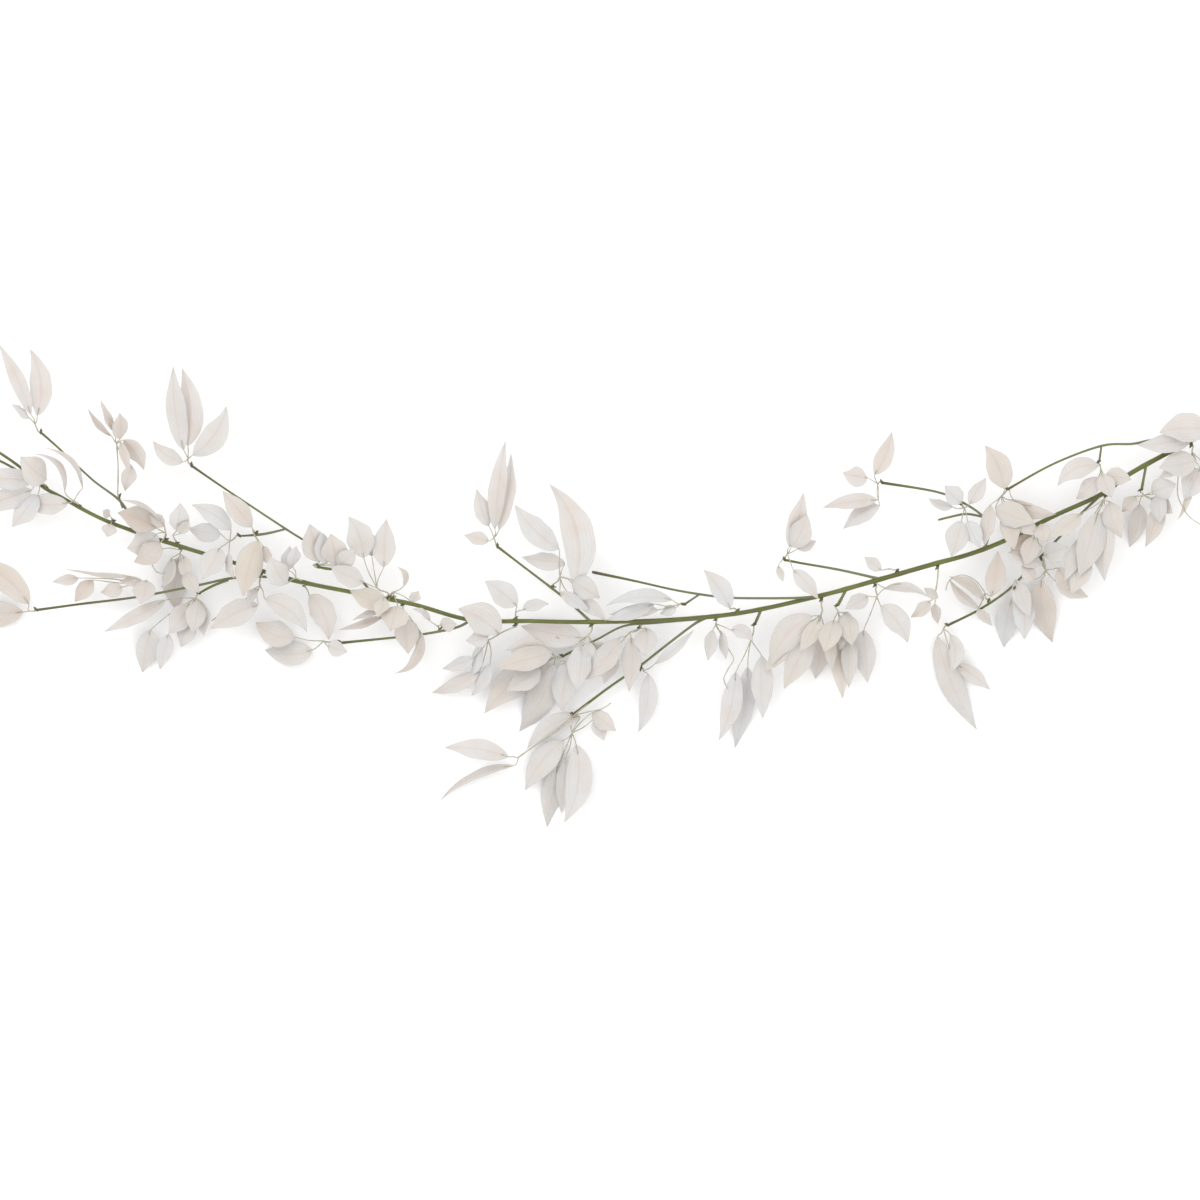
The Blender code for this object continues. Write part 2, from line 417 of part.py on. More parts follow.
def blade_mesh(leaf, hub, shift, spare, draw, outer=False):
    """One closed blade with its own little stalk back to the fork, thick at the rib and thin at the edge."""
    width, roll = leaf[4] * MM, leaf[5]
    twist = draw.uniform(-TWIST, TWIST)
    cup = draw.choice((-1.0, 1.0)) * draw.uniform(*CUP)
    line = blade_line(leaf, hub, shift, draw.uniform(*ARCH))
    positions = [hub] + line
    rows = [(HUB_WIDTH * MM, 0.0, 0.0)]
    for share in blade_rows(leaf):
        full = width * blade_width(share)
        narrow = NECK_WIDTH if share < 0.5 else TIP_WIDTH
        rows.append((max(full, narrow * MM), roll + twist * (share - 0.5), cup * full))
    if outer:
        positions = positions[2:]
        rows = rows[2:]
    mesh = bmesh.new()
    bmesh.ops.create_grid(mesh, x_segments=2, y_segments=len(rows) - 1, size=1.0)
    top = sorted(mesh.verts, key=lambda v: (round(v.co.y, 4), round(v.co.x, 4)))
    half = (BLADE_THICKNESS * 0.5 + spare) * MM
    ribs = {}
    for index, vertex in enumerate(top):
        row, column = divmod(index, 3)
        before = positions[max(row - 1, 0)]
        after = positions[min(row + 1, len(positions) - 1)]
        along = (after - before).normalized()
        flat = Vector((-along.y, along.x, 0.0)).normalized()
        up = along.cross(flat) * -1.0
        if up.z < 0:
            up = -up
        wide, turn, dip = rows[row]
        angle = math.radians(turn)
        side = flat * math.cos(angle) + up * math.sin(angle)
        face = up * math.cos(angle) - flat * math.sin(angle)
        offset = (column - 1) * (wide * 0.5 + spare * MM)
        centre = positions[row]
        if column == 1:
            vertex.co = centre - face * dip
            ribs[vertex] = face * half * (1.0 if 0 < row < len(rows) - 1 else HUB_THICKNESS)
        else:
            vertex.co = centre + side * offset
    bmesh.ops.triangulate(mesh, faces=mesh.faces)
    copied = bmesh.ops.duplicate(mesh, geom=mesh.verts[:] + mesh.edges[:] + mesh.faces[:])
    under = [item for item in copied["geom"] if isinstance(item, bmesh.types.BMFace)]
    for vertex, shift_up in ribs.items():
        twin = copied["vert_map"][vertex]
        twin.co = vertex.co - shift_up
        vertex.co = vertex.co + shift_up
    bmesh.ops.reverse_faces(mesh, faces=under)
    bmesh.ops.remove_doubles(mesh, verts=mesh.verts, dist=1e-6)
    bmesh.ops.holes_fill(mesh, edges=[e for e in mesh.edges if e.is_boundary], sides=4)
    bmesh.ops.triangulate(mesh, faces=mesh.faces)
    bmesh.ops.recalc_face_normals(mesh, faces=mesh.faces)
    return mesh


def to_mesh(built, name):
    made = bpy.data.meshes.new(name)
    built.to_mesh(made)
    built.free()
    return made


def tree_of(mesh):
    return BVHTree.FromPolygons([v.co.copy() for v in mesh.vertices], [tuple(p.vertices) for p in mesh.polygons])


def lowest(mesh):
    return min(v.co.z for v in mesh.vertices)


def root_run(root, hub_plan, axes):
    """Where a spray's stalk starts on the green stem, and the line it takes to its fork."""
    seat = place(root[0], root[1], 0.0)
    best = None
    for run in axes:
        for i in range(len(run) - 1):
            (start, thick), (end, thin) = run[i], run[i + 1]
            stretch = end - start
            share = (seat - start).xy.dot(stretch.xy) / stretch.xy.length_squared
            share = min(1.0, max(0.0, share))
            point = start + stretch * share
            distance = (point.xy - seat.xy).length
            if best is None or distance < best[0]:
                at_tip = share > TIP_SHARE and i == len(run) - 2
                best = (distance, point, thick + (thin - thick) * share, stretch.normalized(), at_tip)
    _, point, radius, along, at_tip = best
    hub = place(hub_plan[0], hub_plan[1], point.z / MM + hub_plan[2])
    if at_tip:
        away = along
        start = point + away * SEAT_GAP * MM
    else:
        away = hub - point
        away = (away - along * away.dot(along)).normalized()
        start = point + away * (radius + SEAT_GAP * MM)
    bend = start + away * ROOT_RUN * MM
    return [start, bend, hub]


def stalk_run(points):
    """A spray's stalk from its root to a small knot round the fork, which the leaves grow from."""
    start, bend, hub = points
    length = (hub - bend).length
    middle = bend.lerp(hub, 0.5) + Vector((0, 0, STALK_LIFT * length))
    way = [start, bend, middle] if length > SHORT_STALK * MM else [start, bend]
    reach = (hub - way[-1]).normalized() * KNOT_REACH * MM
    thin = STALK_RADIUS * MM
    run = [(p, thin) for p in way]
    return run + [(hub - reach, thin), (hub, KNOT_RADIUS * MM), (hub + reach, thin * 0.5)]


def fused(name, meshes, finish):
    """The meshes joined in one body by one union."""
    group = bpy.data.collections.new(name)
    bpy.context.scene.collection.children.link(group)
    for index, mesh in enumerate(meshes):
        group.objects.link(bpy.data.objects.new(f"{name} {index}", mesh))
    first = group.objects[0]
    made = bpy.data.objects.new(name, first.data)
    bpy.context.scene.collection.objects.link(made)
    group.objects.unlink(first)
    bpy.data.objects.remove(first, do_unlink=True)
    if len(meshes) > 1:
        union = made.modifiers.new("Union", "BOOLEAN")
        union.operation = "UNION"
        union.operand_type = "COLLECTION"
        union.collection = group
        union.solver = "MANIFOLD"
        evaluated = made.evaluated_get(bpy.context.evaluated_depsgraph_get())
        joined = bpy.data.meshes.new_from_object(evaluated)
        made.modifiers.clear()
        made.data = joined
        merge_flat(joined)
    for item in list(group.objects):
        bpy.data.objects.remove(item, do_unlink=True)
    bpy.data.collections.remove(group)
    made.data.materials.clear()
    made.data.materials.append(finish)
    return made


def merge_flat(mesh):
    """Take out what the union left in flat faces."""
    built = bmesh.new()
    built.from_mesh(mesh)
    bmesh.ops.dissolve_limit(built, angle_limit=math.radians(FLAT_ANGLE), verts=built.verts, edges=built.edges)
    bmesh.ops.triangulate(built, faces=built.faces)
    built.to_mesh(mesh)
    built.free()


def trim_at_surface(made):
    """Cut what reaches under the surface, so that the leaf rests on a small flat spot."""
    if lowest(made.data) >= 0.0:
        return
    mesh = bmesh.new()
    mesh.from_mesh(made.data)
    cut = bmesh.ops.bisect_plane(mesh, geom=mesh.verts[:] + mesh.edges[:] + mesh.faces[:], plane_co=(0, 0, 0),
                                 plane_no=(0, 0, -1), clear_outer=True, dist=1e-7)
    rim = [item for item in cut["geom_cut"] if isinstance(item, bmesh.types.BMEdge)]
    bmesh.ops.holes_fill(mesh, edges=rim, sides=0)
    bmesh.ops.triangulate(mesh, faces=mesh.faces)
    mesh.to_mesh(made.data)
    mesh.free()


def build():
    clear_scene()
    green = material("stem_green", *GREEN)
    pale = material("leaf_pale", *PALE)
    axes = [smooth_run(MAIN_STEM, STEM_STEP)]
    axes += [smooth_run(points, SHOOT_STEP) for points in SHOOTS.values()]
    tubes = [tube("stem run", run, SIX_SIDES) for run in axes]
    placed = [("green_stem", tree_of(mesh)) for mesh in tubes]
    fused("green_stem", tubes, green)

    stalks = {}
    for name, root, hub_plan, _ in SPRAYS:
        line = root_run(root, hub_plan, axes)
        mesh = tube(name, stalk_run(line), FOUR_SIDES)
        stalks[name] = (line[2], mesh)
        placed.append((name, tree_of(mesh)))

    stuck = []
    for name, _, _, leaves in SPRAYS:
        hub, stalk = stalks[name]
        meshes = [stalk]
        others = [tree for owner, tree in placed if owner != name]
        sisters = []
        for index, leaf in enumerate(leaves):
            key = f"{name} {index}"
            foot = (name, index) in FEET
            steps = (foot_bend(leaf, hub, key),) if foot else BEND_STEPS
            shift = clear_bend(leaf, hub, key, steps, others, sisters, foot)
            if shift is None:
                shift = clear_bend(leaf, hub, key, steps, others, [], foot)
            if shift is None:
                stuck.append(key)
                continue
            mesh = to_mesh(blade_mesh(leaf, hub, shift, 0.0, random.Random(key)), name)
            meshes.append(mesh)
            placed.append((name, tree_of(mesh)))
            sister = to_mesh(blade_mesh(leaf, hub, shift, 0.0, random.Random(key), outer=True), name)
            sisters.append(tree_of(sister))
            bpy.data.meshes.remove(sister)
        trim_at_surface(fused(f"spray_{name}", meshes, pale))
    return stuck


def clear_bend(leaf, hub, key, steps, others, sisters, foot):
    """The first bend that keeps a leaf clear of the other sprays, and its blade clear of its sisters'."""
    for shift in steps:
        whole = to_mesh(blade_mesh(leaf, hub, shift, CLEARANCE * 0.5, random.Random(key)), key)
        outer = to_mesh(blade_mesh(leaf, hub, shift, CLEARANCE * 0.25, random.Random(key), outer=True), key)
        low = lowest(whole) / MM + CLEARANCE * 0.5
        whole_tree = tree_of(whole)
        outer_tree = tree_of(outer)
        bpy.data.meshes.remove(whole)
        bpy.data.meshes.remove(outer)
        if low < MIN_HEIGHT and not foot:
            continue
        if any(whole_tree.overlap(tree) for tree in others):
            continue
        if any(outer_tree.overlap(tree) for tree in sisters):
            continue
        return shift
    return None


def foot_bend(leaf, hub, key):
    """The bend that brings the lowest point of a leaf a hair under the surface."""
    shift = HIGHEST_BEND
    reach = HIGHEST_BEND
    while reach > -FOOT_DEPTH:
        mesh = to_mesh(blade_mesh(leaf, hub, shift, 0.0, random.Random(key)), key)
        reach = lowest(mesh) / MM
        bpy.data.meshes.remove(mesh)
        shift -= 0.5
    return shift + 0.5


STUCK = build()
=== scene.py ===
"""The looks of a dried ruscus stem lying on a pale floor, seen from straight above.

The green stem and the pale sprays take the places of their plain solids, leaf by leaf,
with fine blades, veins, stalks and bark. Metres, +Z up.
"""
import math
import random

import bmesh
import bpy
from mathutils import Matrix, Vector
from mathutils.bvhtree import BVHTree


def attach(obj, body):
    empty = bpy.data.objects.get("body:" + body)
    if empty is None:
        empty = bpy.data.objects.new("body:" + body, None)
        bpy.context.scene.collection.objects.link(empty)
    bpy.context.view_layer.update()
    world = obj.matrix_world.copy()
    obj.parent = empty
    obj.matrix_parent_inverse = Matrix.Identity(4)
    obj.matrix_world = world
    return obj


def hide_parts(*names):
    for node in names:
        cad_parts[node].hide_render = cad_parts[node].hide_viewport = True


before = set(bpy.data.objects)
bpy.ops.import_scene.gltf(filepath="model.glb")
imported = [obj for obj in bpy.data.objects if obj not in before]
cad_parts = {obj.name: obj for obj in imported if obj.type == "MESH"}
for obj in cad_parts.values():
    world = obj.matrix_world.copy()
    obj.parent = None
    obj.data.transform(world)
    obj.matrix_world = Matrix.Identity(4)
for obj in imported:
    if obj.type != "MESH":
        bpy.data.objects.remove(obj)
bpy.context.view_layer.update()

# Scale of the plan: positions are read on a grid of 1200 units to the metre,
# x to the right and y downwards, as the stem is seen from above.
GRID = 1.0 / 1200.0
PLAN_CENTRE = (582.0, 586.0)
MM = 0.001
TURN = 2.0 * math.pi

# Points closer than this, in metres, are one
CLOSE = 1e-6
FINE_CLOSE = 1e-7

# Green stem: length of its stretches in plan units, and its roundness
STEM_STEP = 28.0
SHOOT_STEP = 32.0
SIX_SIDES = 1
FOUR_SIDES = 0

# Stalks of the pale sprays, in millimetres
STALK_RADIUS = 0.75
SEAT_GAP = 0.32
ROOT_RUN = 2.2
STALK_LIFT = 0.06
SHORT_STALK = 9.0
KNOT_RADIUS = 1.05
KNOT_REACH = 0.9
TIP_SHARE = 0.97

# Blades of the leaves, in millimetres and degrees
HUB_WIDTH = 1.0
NECK_WIDTH = 1.5
TIP_WIDTH = 0.7
BLADE_THICKNESS = 1.2
HUB_THICKNESS = 0.8
CUP = (0.05, 0.10)
TWIST = 16.0
ARCH = (-1.0, 4.0)
FULLEST_AT = 0.8
FULLNESS = 0.85

# How much a leaf that rises stands up, and how far its neck already rises
LIFT = 2.2
NECK_RISE = 0.25

# Rows of a blade from its neck to its point, as shares of its length
BLADE_ROWS = (0.0, 0.19, 0.45, 0.76, 1.0)
NARROW_ROWS = (0.0, 0.27, 0.66, 1.0)
NARROW_WIDTH = 15.0

# What a leaf is tried at, in millimetres up or down, until it is clear of the other sprays
BEND_STEPS = (0, 3, -3, 6, -6, 9, -9, 12, -12, 15, -15, 18, -18, 22, -22, 26, -26, 31, -31, 36, 42, 50)
BEND_AT_NECK = 0.35
CLEARANCE = 0.9
MIN_HEIGHT = 0.6
FOOT_DEPTH = 0.35
HIGHEST_BEND = 30.0

# Points of the main stem and the side shoots: x, y on the plan, height and thickness in mm
MAIN_STEM = (
    (-26, 437, 30, 2.6), (0, 453, 30, 2.9), (20, 467, 29, 3.2), (42, 486, 28, 3.6), (61, 497, 27, 4.0),
    (102, 519, 26, 4.2), (148, 536, 26, 4.4), (202, 553, 27, 4.5), (252, 568, 28, 4.5),
    (302, 582, 27, 4.6), (351, 592, 27, 4.6), (412, 604, 27, 4.6), (471, 620, 26, 4.6),
    (530, 621, 26, 4.6), (588, 622, 26, 4.7), (665, 620, 27, 4.7), (740, 613, 27, 4.8),
    (819, 596, 27, 4.9), (874, 581, 27, 5.2), (930, 565, 27, 5.4), (970, 554, 27, 5.0),
    (1006, 540, 27, 5.0), (1054, 516, 27, 5.0), (1102, 494, 27, 5.0), (1128, 475, 27, 5.2),
    (1162, 456, 27, 5.4), (1200, 436, 27, 5.6), (1232, 420, 27, 5.8),
)
SHOOTS = {
    "second tip": ((46, 488, 28, 3.0), (26, 476, 27, 2.8), (8, 465, 26, 2.6), (-19, 452, 26, 2.5)),
    "upper left": ((134, 530, 26, 2.6), (122, 503, 30, 2.6), (93, 480, 34, 2.3), (60, 449, 38, 2.2),
                   (42, 433, 40, 2.6)),
    "upper left stub": ((123, 508, 29, 2.2), (119, 497, 31, 2.6)),
    "long upper": ((375, 597, 27, 2.6), (362, 581, 31, 2.8), (345, 566, 33, 2.5), (302, 539, 33, 2.3),
                   (286, 529, 33, 2.3), (227, 490, 30, 2.2), (192, 466, 28, 2.6)),
    "long upper fork": ((286, 529, 33, 2.0), (264, 534, 30, 2.8), (240, 536, 27, 1.9)),
    "long upper stub": ((348, 568, 33, 2.0), (330, 569, 32, 3.0), (319, 567, 32, 2.6)),
    "low left": ((302, 583, 27, 3.0), (268, 577, 22, 2.8), (233, 578, 19, 2.7), (194, 586, 16, 2.6),
                 (136, 597, 13, 2.5), (80, 604, 11, 2.5), (36, 610, 10, 2.8)),
    "low left fork": ((228, 580, 19, 2.4), (212, 586, 16, 2.8), (199, 593, 13, 2.2)),
    "lower middle": ((471, 620, 26, 3.0), (455, 628, 22, 2.8), (418, 635, 17, 2.6), (390, 638, 14, 2.5),
                     (340, 643, 11, 3.0)),
    "upper middle": ((590, 621, 26, 3.0), (568, 601, 30, 2.8), (549, 586, 33, 2.6), (524, 567, 36, 2.4),
                     (498, 547, 38, 2.7)),
    "long right": ((819, 596, 27, 3.0), (795, 598, 31, 2.7), (736, 598, 34, 2.5), (712, 596, 34, 2.5),
                   (675, 590, 33, 2.4), (635, 581, 32, 2.4), (592, 572, 31, 3.4)),
    "long right fork": ((700, 594, 34, 2.0), (685, 604, 31, 2.4)),
    "drooping left": ((700, 619, 27, 2.6), (655, 623, 23, 2.4), (624, 626, 19, 2.3), (596, 640, 16, 2.2),
                      (563, 656, 14, 2.6)),
    "drooping right": ((712, 616, 27, 3.0), (696, 623, 23, 2.8), (668, 644, 18, 2.7), (640, 666, 13, 2.6),
                       (607, 689, 10, 2.6), (574, 714, 8, 3.0)),
    "low stub": ((761, 610, 27, 2.8), (755, 624, 22, 3.2)),
    "low right stub": ((846, 590, 27, 2.8), (838, 605, 23, 3.4)),
    "upper right": ((880, 579, 27, 3.0), (840, 570, 34, 2.6), (800, 563, 39, 2.5), (785, 560, 41, 2.8)),
    "high right": ((984, 549, 27, 3.0), (989, 532, 31, 2.7), (983, 517, 35, 2.6), (963, 503, 39, 2.5),
                   (936, 492, 42, 2.5), (882, 483, 44, 3.2)),
    "high right fork": ((983, 517, 35, 2.3), (966, 514, 34, 2.6), (950, 517, 33, 2.2), (938, 520, 32, 2.5)),
    "far right": ((1182, 446, 27, 3.0), (1156, 440, 32, 2.8), (1132, 444, 35, 2.6), (1101, 446, 36, 2.5),
                  (1053, 464, 36, 2.3), (1008, 489, 35, 2.5)),
    "far right fork": ((1101, 446, 36, 2.0), (1099, 461, 33, 2.3)),
    "low right": ((1102, 494, 27, 3.0), (1082, 513, 22, 2.8), (1059, 538, 18, 2.6), (1032, 566, 15, 2.5),
                  (1010, 589, 13, 2.5), (981, 609, 11, 2.5), (949, 625, 10, 2.8)),
    "right stub": ((1146, 466, 27, 2.6), (1142, 489, 21, 3.0)),
}

# Sprays: name, root on the plan, fork of its stalks (x, y, rise above the root in mm), and its leaves.
# A leaf: neck x, y and point x, y on the plan; width in mm, roll in degrees,
# rise of its point above its neck in mm, and sideways bow in mm, to the left of its run.
SPRAYS = (
    ("tip", (-27, 436), (-34, 431, 0), (
        (-38, 428, -78, 400, 17, 10, 4, 2), (-40, 433, -84, 438, 18, -15, -5, -2),
        (-35, 426, -50, 378, 15, 30, 9, 2))),
    ("second_tip", (-20, 451), (-26, 452, -1), (
        (-31, 455, -76, 476, 18, 10, -9, 3), (-29, 458, -50, 500, 16, -20, -14, 2))),
    ("low_left_tip", (35, 610), (28, 611, 0), (
        (28, 604, -28, 560, 20, 12, 7, -5), (22, 612, -48, 611, 21, -8, -7, 2))),
    ("upper_left_tip", (41, 432), (36, 425, 1), (
        (32, 415, 0, 344, 12, 15, 7, -2), (38, 416, 31, 349, 20, -10, 3, -6),
        (30, 418, 13, 404, 13, 62, 2, 0))),
    ("upright", (119, 497), (117, 444, 6), (
        (112, 436, 89, 409, 11, 55, 4, 2), (117, 432, 102, 400, 11, 58, 9, 1),
        (121, 439, 121, 413, 14, 35, 7, 0), (124, 440, 144, 470, 15, 30, -4, 3),
        (132, 466, 125, 491, 12, -15, -8, 0), (121, 442, 131, 474, 8, 25, 2, 0))),
    ("west", (45, 488), (40, 482, 5), (
        (34, 481, -22, 479, 17, 8, 3, -1), (32, 490, -24, 508, 17, -12, -3, 1),
        (38, 495, 12, 527, 18, 10, -6, 0), (47, 480, 22, 457, 23, 25, 7, 1))),
    ("west_edge", (77, 508), (74, 501, 4), (
        (65, 492, 33, 454, 13, 55, 6, -11), (68, 503, 22, 500, 16, -5, -7, 2),
        (83, 488, 45, 448, 13, 58, 7, -9))),
    ("west_bud", (112, 523), (112, 519, 3), (
        (111, 524, 107, 537, 12, 10, -5, 0), (110, 516, 103, 511, 8, 20, 3, 0))),
    ("brown_west", (165, 541), (166, 533, 6), (
        (161, 520, 120, 500, 12, 76, 7, -4), (157, 528, 118, 513, 20, 12, 3, -2),
        (157, 534, 127, 548, 22, -8, -2, 3), (160, 543, 134, 562, 18, 14, -8, 2),
        (165, 526, 150, 514, 10, 15, 3, 0))),
    ("north_point", (176, 545), (173, 535, 8), (
        (177, 531, 181, 503, 15, 5, 5, -1), (180, 534, 190, 520, 10, 30, 3, 0))),
    ("hanging_west", (182, 547), (180, 553, -6), (
        (178, 558, 176, 611, 19, 8, -7, -3), (185, 572, 199, 593, 13, 20, -4, -1),
        (171, 558, 160, 588, 12, 40, -3, 3), (183, 556, 188, 582, 11, 15, -2, 0))),
    ("long_upper_tip", (190, 465), (188, 459, 1), (
        (184, 450, 174, 366, 16, 12, 7, 2), (188, 446, 182, 368, 19, -12, 3, -5),
        (193, 455, 227, 406, 19, 10, 5, -6), (183, 462, 153, 441, 13, 20, -4, 3))),
    ("fork_leaves", (256, 535), (253, 530, 3), (
        (252, 527, 223, 491, 16, 5, 3, 0), (258, 541, 244, 597, 21, -8, 5, -2),
        (263, 546, 271, 566, 10, 35, 2, 0))),
    ("fork_tip", (239, 536), (230, 541, 0), (
        (231, 530, 192, 505, 15, 10, 5, -3), (221, 534, 188, 528, 15, -10, -2, 1),
        (220, 548, 203, 579, 19, 12, 5, 0), (229, 553, 235, 579, 8, 35, 5, -2))),
    ("low_ring", (262, 572), (260, 586, 3), (
        (258, 605, 210, 629, 20, 10, -8, -2), (265, 599, 307, 632, 18, 12, -4, 6),
        (256, 588, 247, 604, 8, 20, 0, 0))),
    ("low_left_upper", (150, 595), (152, 585, 5), (
        (133, 577, 64, 569, 8, 62, 4, 1), (92, 580, 74, 602, 13, 10, -3, 0), (78, 578, 52, 582, 10, 30, 3, 0),
        (122, 587, 100, 592, 12, -12, -2, 1), (146, 580, 141, 604, 18, 10, 3, 0),
        (143, 582, 119, 581, 8, 15, 1, 0))),
    ("low_left_fork_tip", (199, 593), (195, 598, -1), (
        (165, 600, 103, 632, 12, 12, 2, 1), (150, 630, 141, 673, 17, 8, -5, 0),
        (168, 634, 159, 670, 13, -12, -3, 0), (190, 622, 180, 647, 15, 15, -4, 0),
        (198, 601, 192, 633, 16, -10, 3, 0), (189, 603, 168, 634, 18, 10, 1, 1),
        (201, 602, 203, 636, 12, 12, 1, 0))),
    ("beside_ring", (302, 582), (296, 578, 5), (
        (287, 584, 271, 556, 18, 12, 4, 2), (292, 566, 297, 546, 11, 25, 6, 0),
        (288, 570, 290, 546, 12, 12, 2, 0))),
    ("pink_pair", (318, 567), (313, 565, 1), (
        (320, 562, 310, 524, 21, 8, 4, 0), (336, 566, 331, 534, 21, -10, 5, -1),
        (338, 567, 357, 549, 14, 10, 1, 0), (326, 564, 321, 532, 14, 10, 2, 0))),
    ("twin_points", (388, 599), (377, 588, 6), (
        (364, 558, 349, 517, 21, 8, 6, -3), (384, 567, 387, 519, 18, -8, 3, 1),
        (364, 582, 331, 566, 16, 8, -3, 1), (372, 556, 369, 530, 14, 20, 0, 0))),
    ("cream_middle", (392, 600), (393, 592, 5), (
        (388, 602, 350, 590, 17, 12, 2, 2), (398, 606, 391, 631, 21, 5, 5, 0),
        (384, 598, 379, 617, 12, 20, 7, 0), (412, 602, 419, 591, 9, 20, 2, 0),
        (404, 586, 398, 567, 7, 50, 4, -4))),
    ("slim_middle", (404, 602), (403, 609, -6), (
        (384, 616, 338, 630, 9, 45, -3, 1), (384, 611, 352, 621, 9, 55, 2, -2),
        (406, 618, 408, 654, 19, 10, -6, 0), (419, 630, 393, 674, 13, 50, -8, 10))),
    ("lower_bud", (440, 631), (437, 626, 4), (
        (440, 625, 457, 624, 12, 20, 3, 0), (430, 621, 412, 609, 7, 45, 3, -3))),
    ("lower_middle_tip", (338, 643), (323, 641, 0), (
        (327, 646, 347, 652, 13, 15, 3, 0), (312, 650, 264, 650, 19, 8, -5, 3),
        (294, 637, 255, 622, 20, -8, 1, 3))),
    ("below_left", (306, 584), (307, 590, -5), (
        (309, 595, 328, 640, 19, 8, -7, 5),)),
    ("upper_middle_tip", (496, 545), (494, 538, 1), (
        (495, 529, 506, 441, 14, 14, 7, 2), (499, 530, 511, 452, 13, -30, 2, -3),
        (489, 526, 477, 489, 13, 20, 5, 1), (489, 541, 464, 535, 11, 15, -3, 0))),
    ("tall_middle", (551, 588), (560, 577, 5), (
        (559, 549, 515, 505, 19, 12, 6, 3), (575, 585, 549, 484, 25, -8, 3, -13),
        (565, 563, 522, 557, 14, 15, -5, 1), (570, 594, 606, 621, 13, 25, -6, 2),
        (572, 580, 600, 598, 18, 12, 1, 0), (560, 592, 590, 611, 10, 15, -5, 0))),
    ("centre_point", (515, 621), (516, 612, 5), (
        (517, 606, 485, 581, 19, 10, 6, -1), (523, 610, 549, 604, 10, 15, 4, 2))),
    ("over_stem", (500, 621), (499, 630, 5), (
        (499, 634, 458, 609, 24, 6, 4, -4), (488, 636, 466, 640, 13, 15, 1, 1))),
    ("south_west", (516, 622), (488, 640, -7), (
        (479, 643, 470, 679, 10, 30, -4, 2), (474, 658, 442, 669, 11, 18, -5, 1),
        (479, 672, 431, 693, 12, 12, -6, 2), (490, 664, 471, 696, 12, 25, -7, 2))),
    ("fan", (563, 656), (556, 657, 1), (
        (547, 652, 506, 650, 16, 12, 5, -3), (549, 660, 484, 714, 25, 8, -3, -5),
        (554, 664, 519, 732, 22, -6, -7, 3), (570, 662, 562, 712, 20, 10, -2, -2),
        (540, 668, 506, 690, 18, 10, 3, 1), (552, 653, 497, 668, 19, 10, 7, -1))),
    ("under_stem", (592, 622), (588, 636, -6), (
        (582, 638, 521, 626, 21, 8, -2, 1), (593, 643, 616, 668, 16, 15, -5, 0),
        (581, 645, 577, 691, 19, 10, 2, 0), (590, 642, 584, 674, 14, 10, -3, 0))),
    ("hanging_centre", (640, 624), (630, 632, -2), (
        (631, 637, 629, 692, 15, 10, -6, 1), (619, 638, 584, 680, 18, 8, -4, 2),
        (614, 650, 604, 684, 14, -10, -7, 0), (646, 628, 645, 656, 18, 8, 2, 0))),
    ("single", (640, 666), (643, 671, -1), (
        (648, 674, 638, 733, 14, 10, -5, 4), (655, 664, 694, 630, 8, 15, 4, -1))),
    ("lowest", (573, 715), (572, 733, 0), (
        (563, 741, 525, 791, 20, 10, -2, -3), (558, 766, 547, 828, 16, -8, -3, -1),
        (576, 745, 564, 823, 21, 8, 2, 7), (566, 757, 561, 814, 13, 20, -5, 0),
        (592, 713, 616, 731, 14, 10, 3, 0), (580, 717, 527, 749, 15, 12, 4, -6),
        (596, 718, 604, 741, 12, 10, 1, 0))),
    ("lowest_left", (584, 707), (518, 758, 1), (
        (508, 757, 444, 748, 16, 12, 2, -3), (514, 766, 439, 802, 9, 45, -2, -7))),
    ("long_right_fork", (685, 605), (680, 604, 0), (
        (672, 600, 606, 606, 13, 35, 3, -6), (658, 610, 609, 615, 10, 10, -2, -1),
        (676, 608, 660, 614, 9, 20, -3, 0), (654, 604, 606, 620, 11, 12, -1, 1))),
    ("short_point", (737, 613), (730, 609, 4), (
        (730, 608, 703, 570, 16, 12, 6, -3),)),
    ("slim_below", (716, 616), (716, 624, -6), (
        (713, 630, 708, 661, 12, 30, -5, 0), (722, 632, 726, 659, 9, 35, -8, 0),
        (731, 630, 753, 641, 12, 25, -3, 3))),
    ("long_below", (755, 624), (751, 640, -5), (
        (736, 672, 719, 741, 16, 12, -5, 3), (748, 667, 735, 749, 16, -8, -8, 2),
        (762, 656, 763, 719, 17, 8, -2, 0))),
    ("upper_right_tip", (784, 560), (787, 554, 2), (
        (789, 547, 803, 493, 15, 10, 6, -1), (797, 549, 816, 541, 10, 15, 3, 0),
        (793, 570, 818, 599, 13, 15, -6, 1), (778, 566, 783, 582, 7, 30, -3, 0),
        (791, 547, 806, 514, 18, -10, 3, -2))),
    ("beige_left", (821, 596), (821, 615, 2), (
        (812, 616, 771, 666, 22, 10, 0, -6), (811, 634, 784, 689, 20, -8, -5, 0),
        (822, 636, 816, 679, 16, 8, -8, 0), (829, 632, 832, 671, 10, 12, -5, 0),
        (819, 620, 800, 652, 13, 10, 3, 0), (792, 640, 764, 672, 12, 12, -4, 0))),
    ("beige_right", (838, 605), (838, 612, 0), (
        (841, 622, 843, 699, 18, 10, -5, -1), (834, 620, 824, 652, 18, 12, 4, 0),
        (846, 614, 852, 646, 16, -10, 4, 0), (850, 634, 849, 688, 13, 10, -7, 0),
        (848, 612, 840, 650, 14, 10, 2, 0))),
    ("dangling", (875, 582), (877, 597, -3), (
        (864, 630, 868, 683, 18, 10, -8, -1), (868, 596, 845, 609, 13, 12, 5, 0),
        (881, 606, 908, 643, 18, 8, -5, 4), (884, 589, 930, 598, 11, 50, 3, 5))),
    ("high_right_tip", (881, 483), (877, 484, 1), (
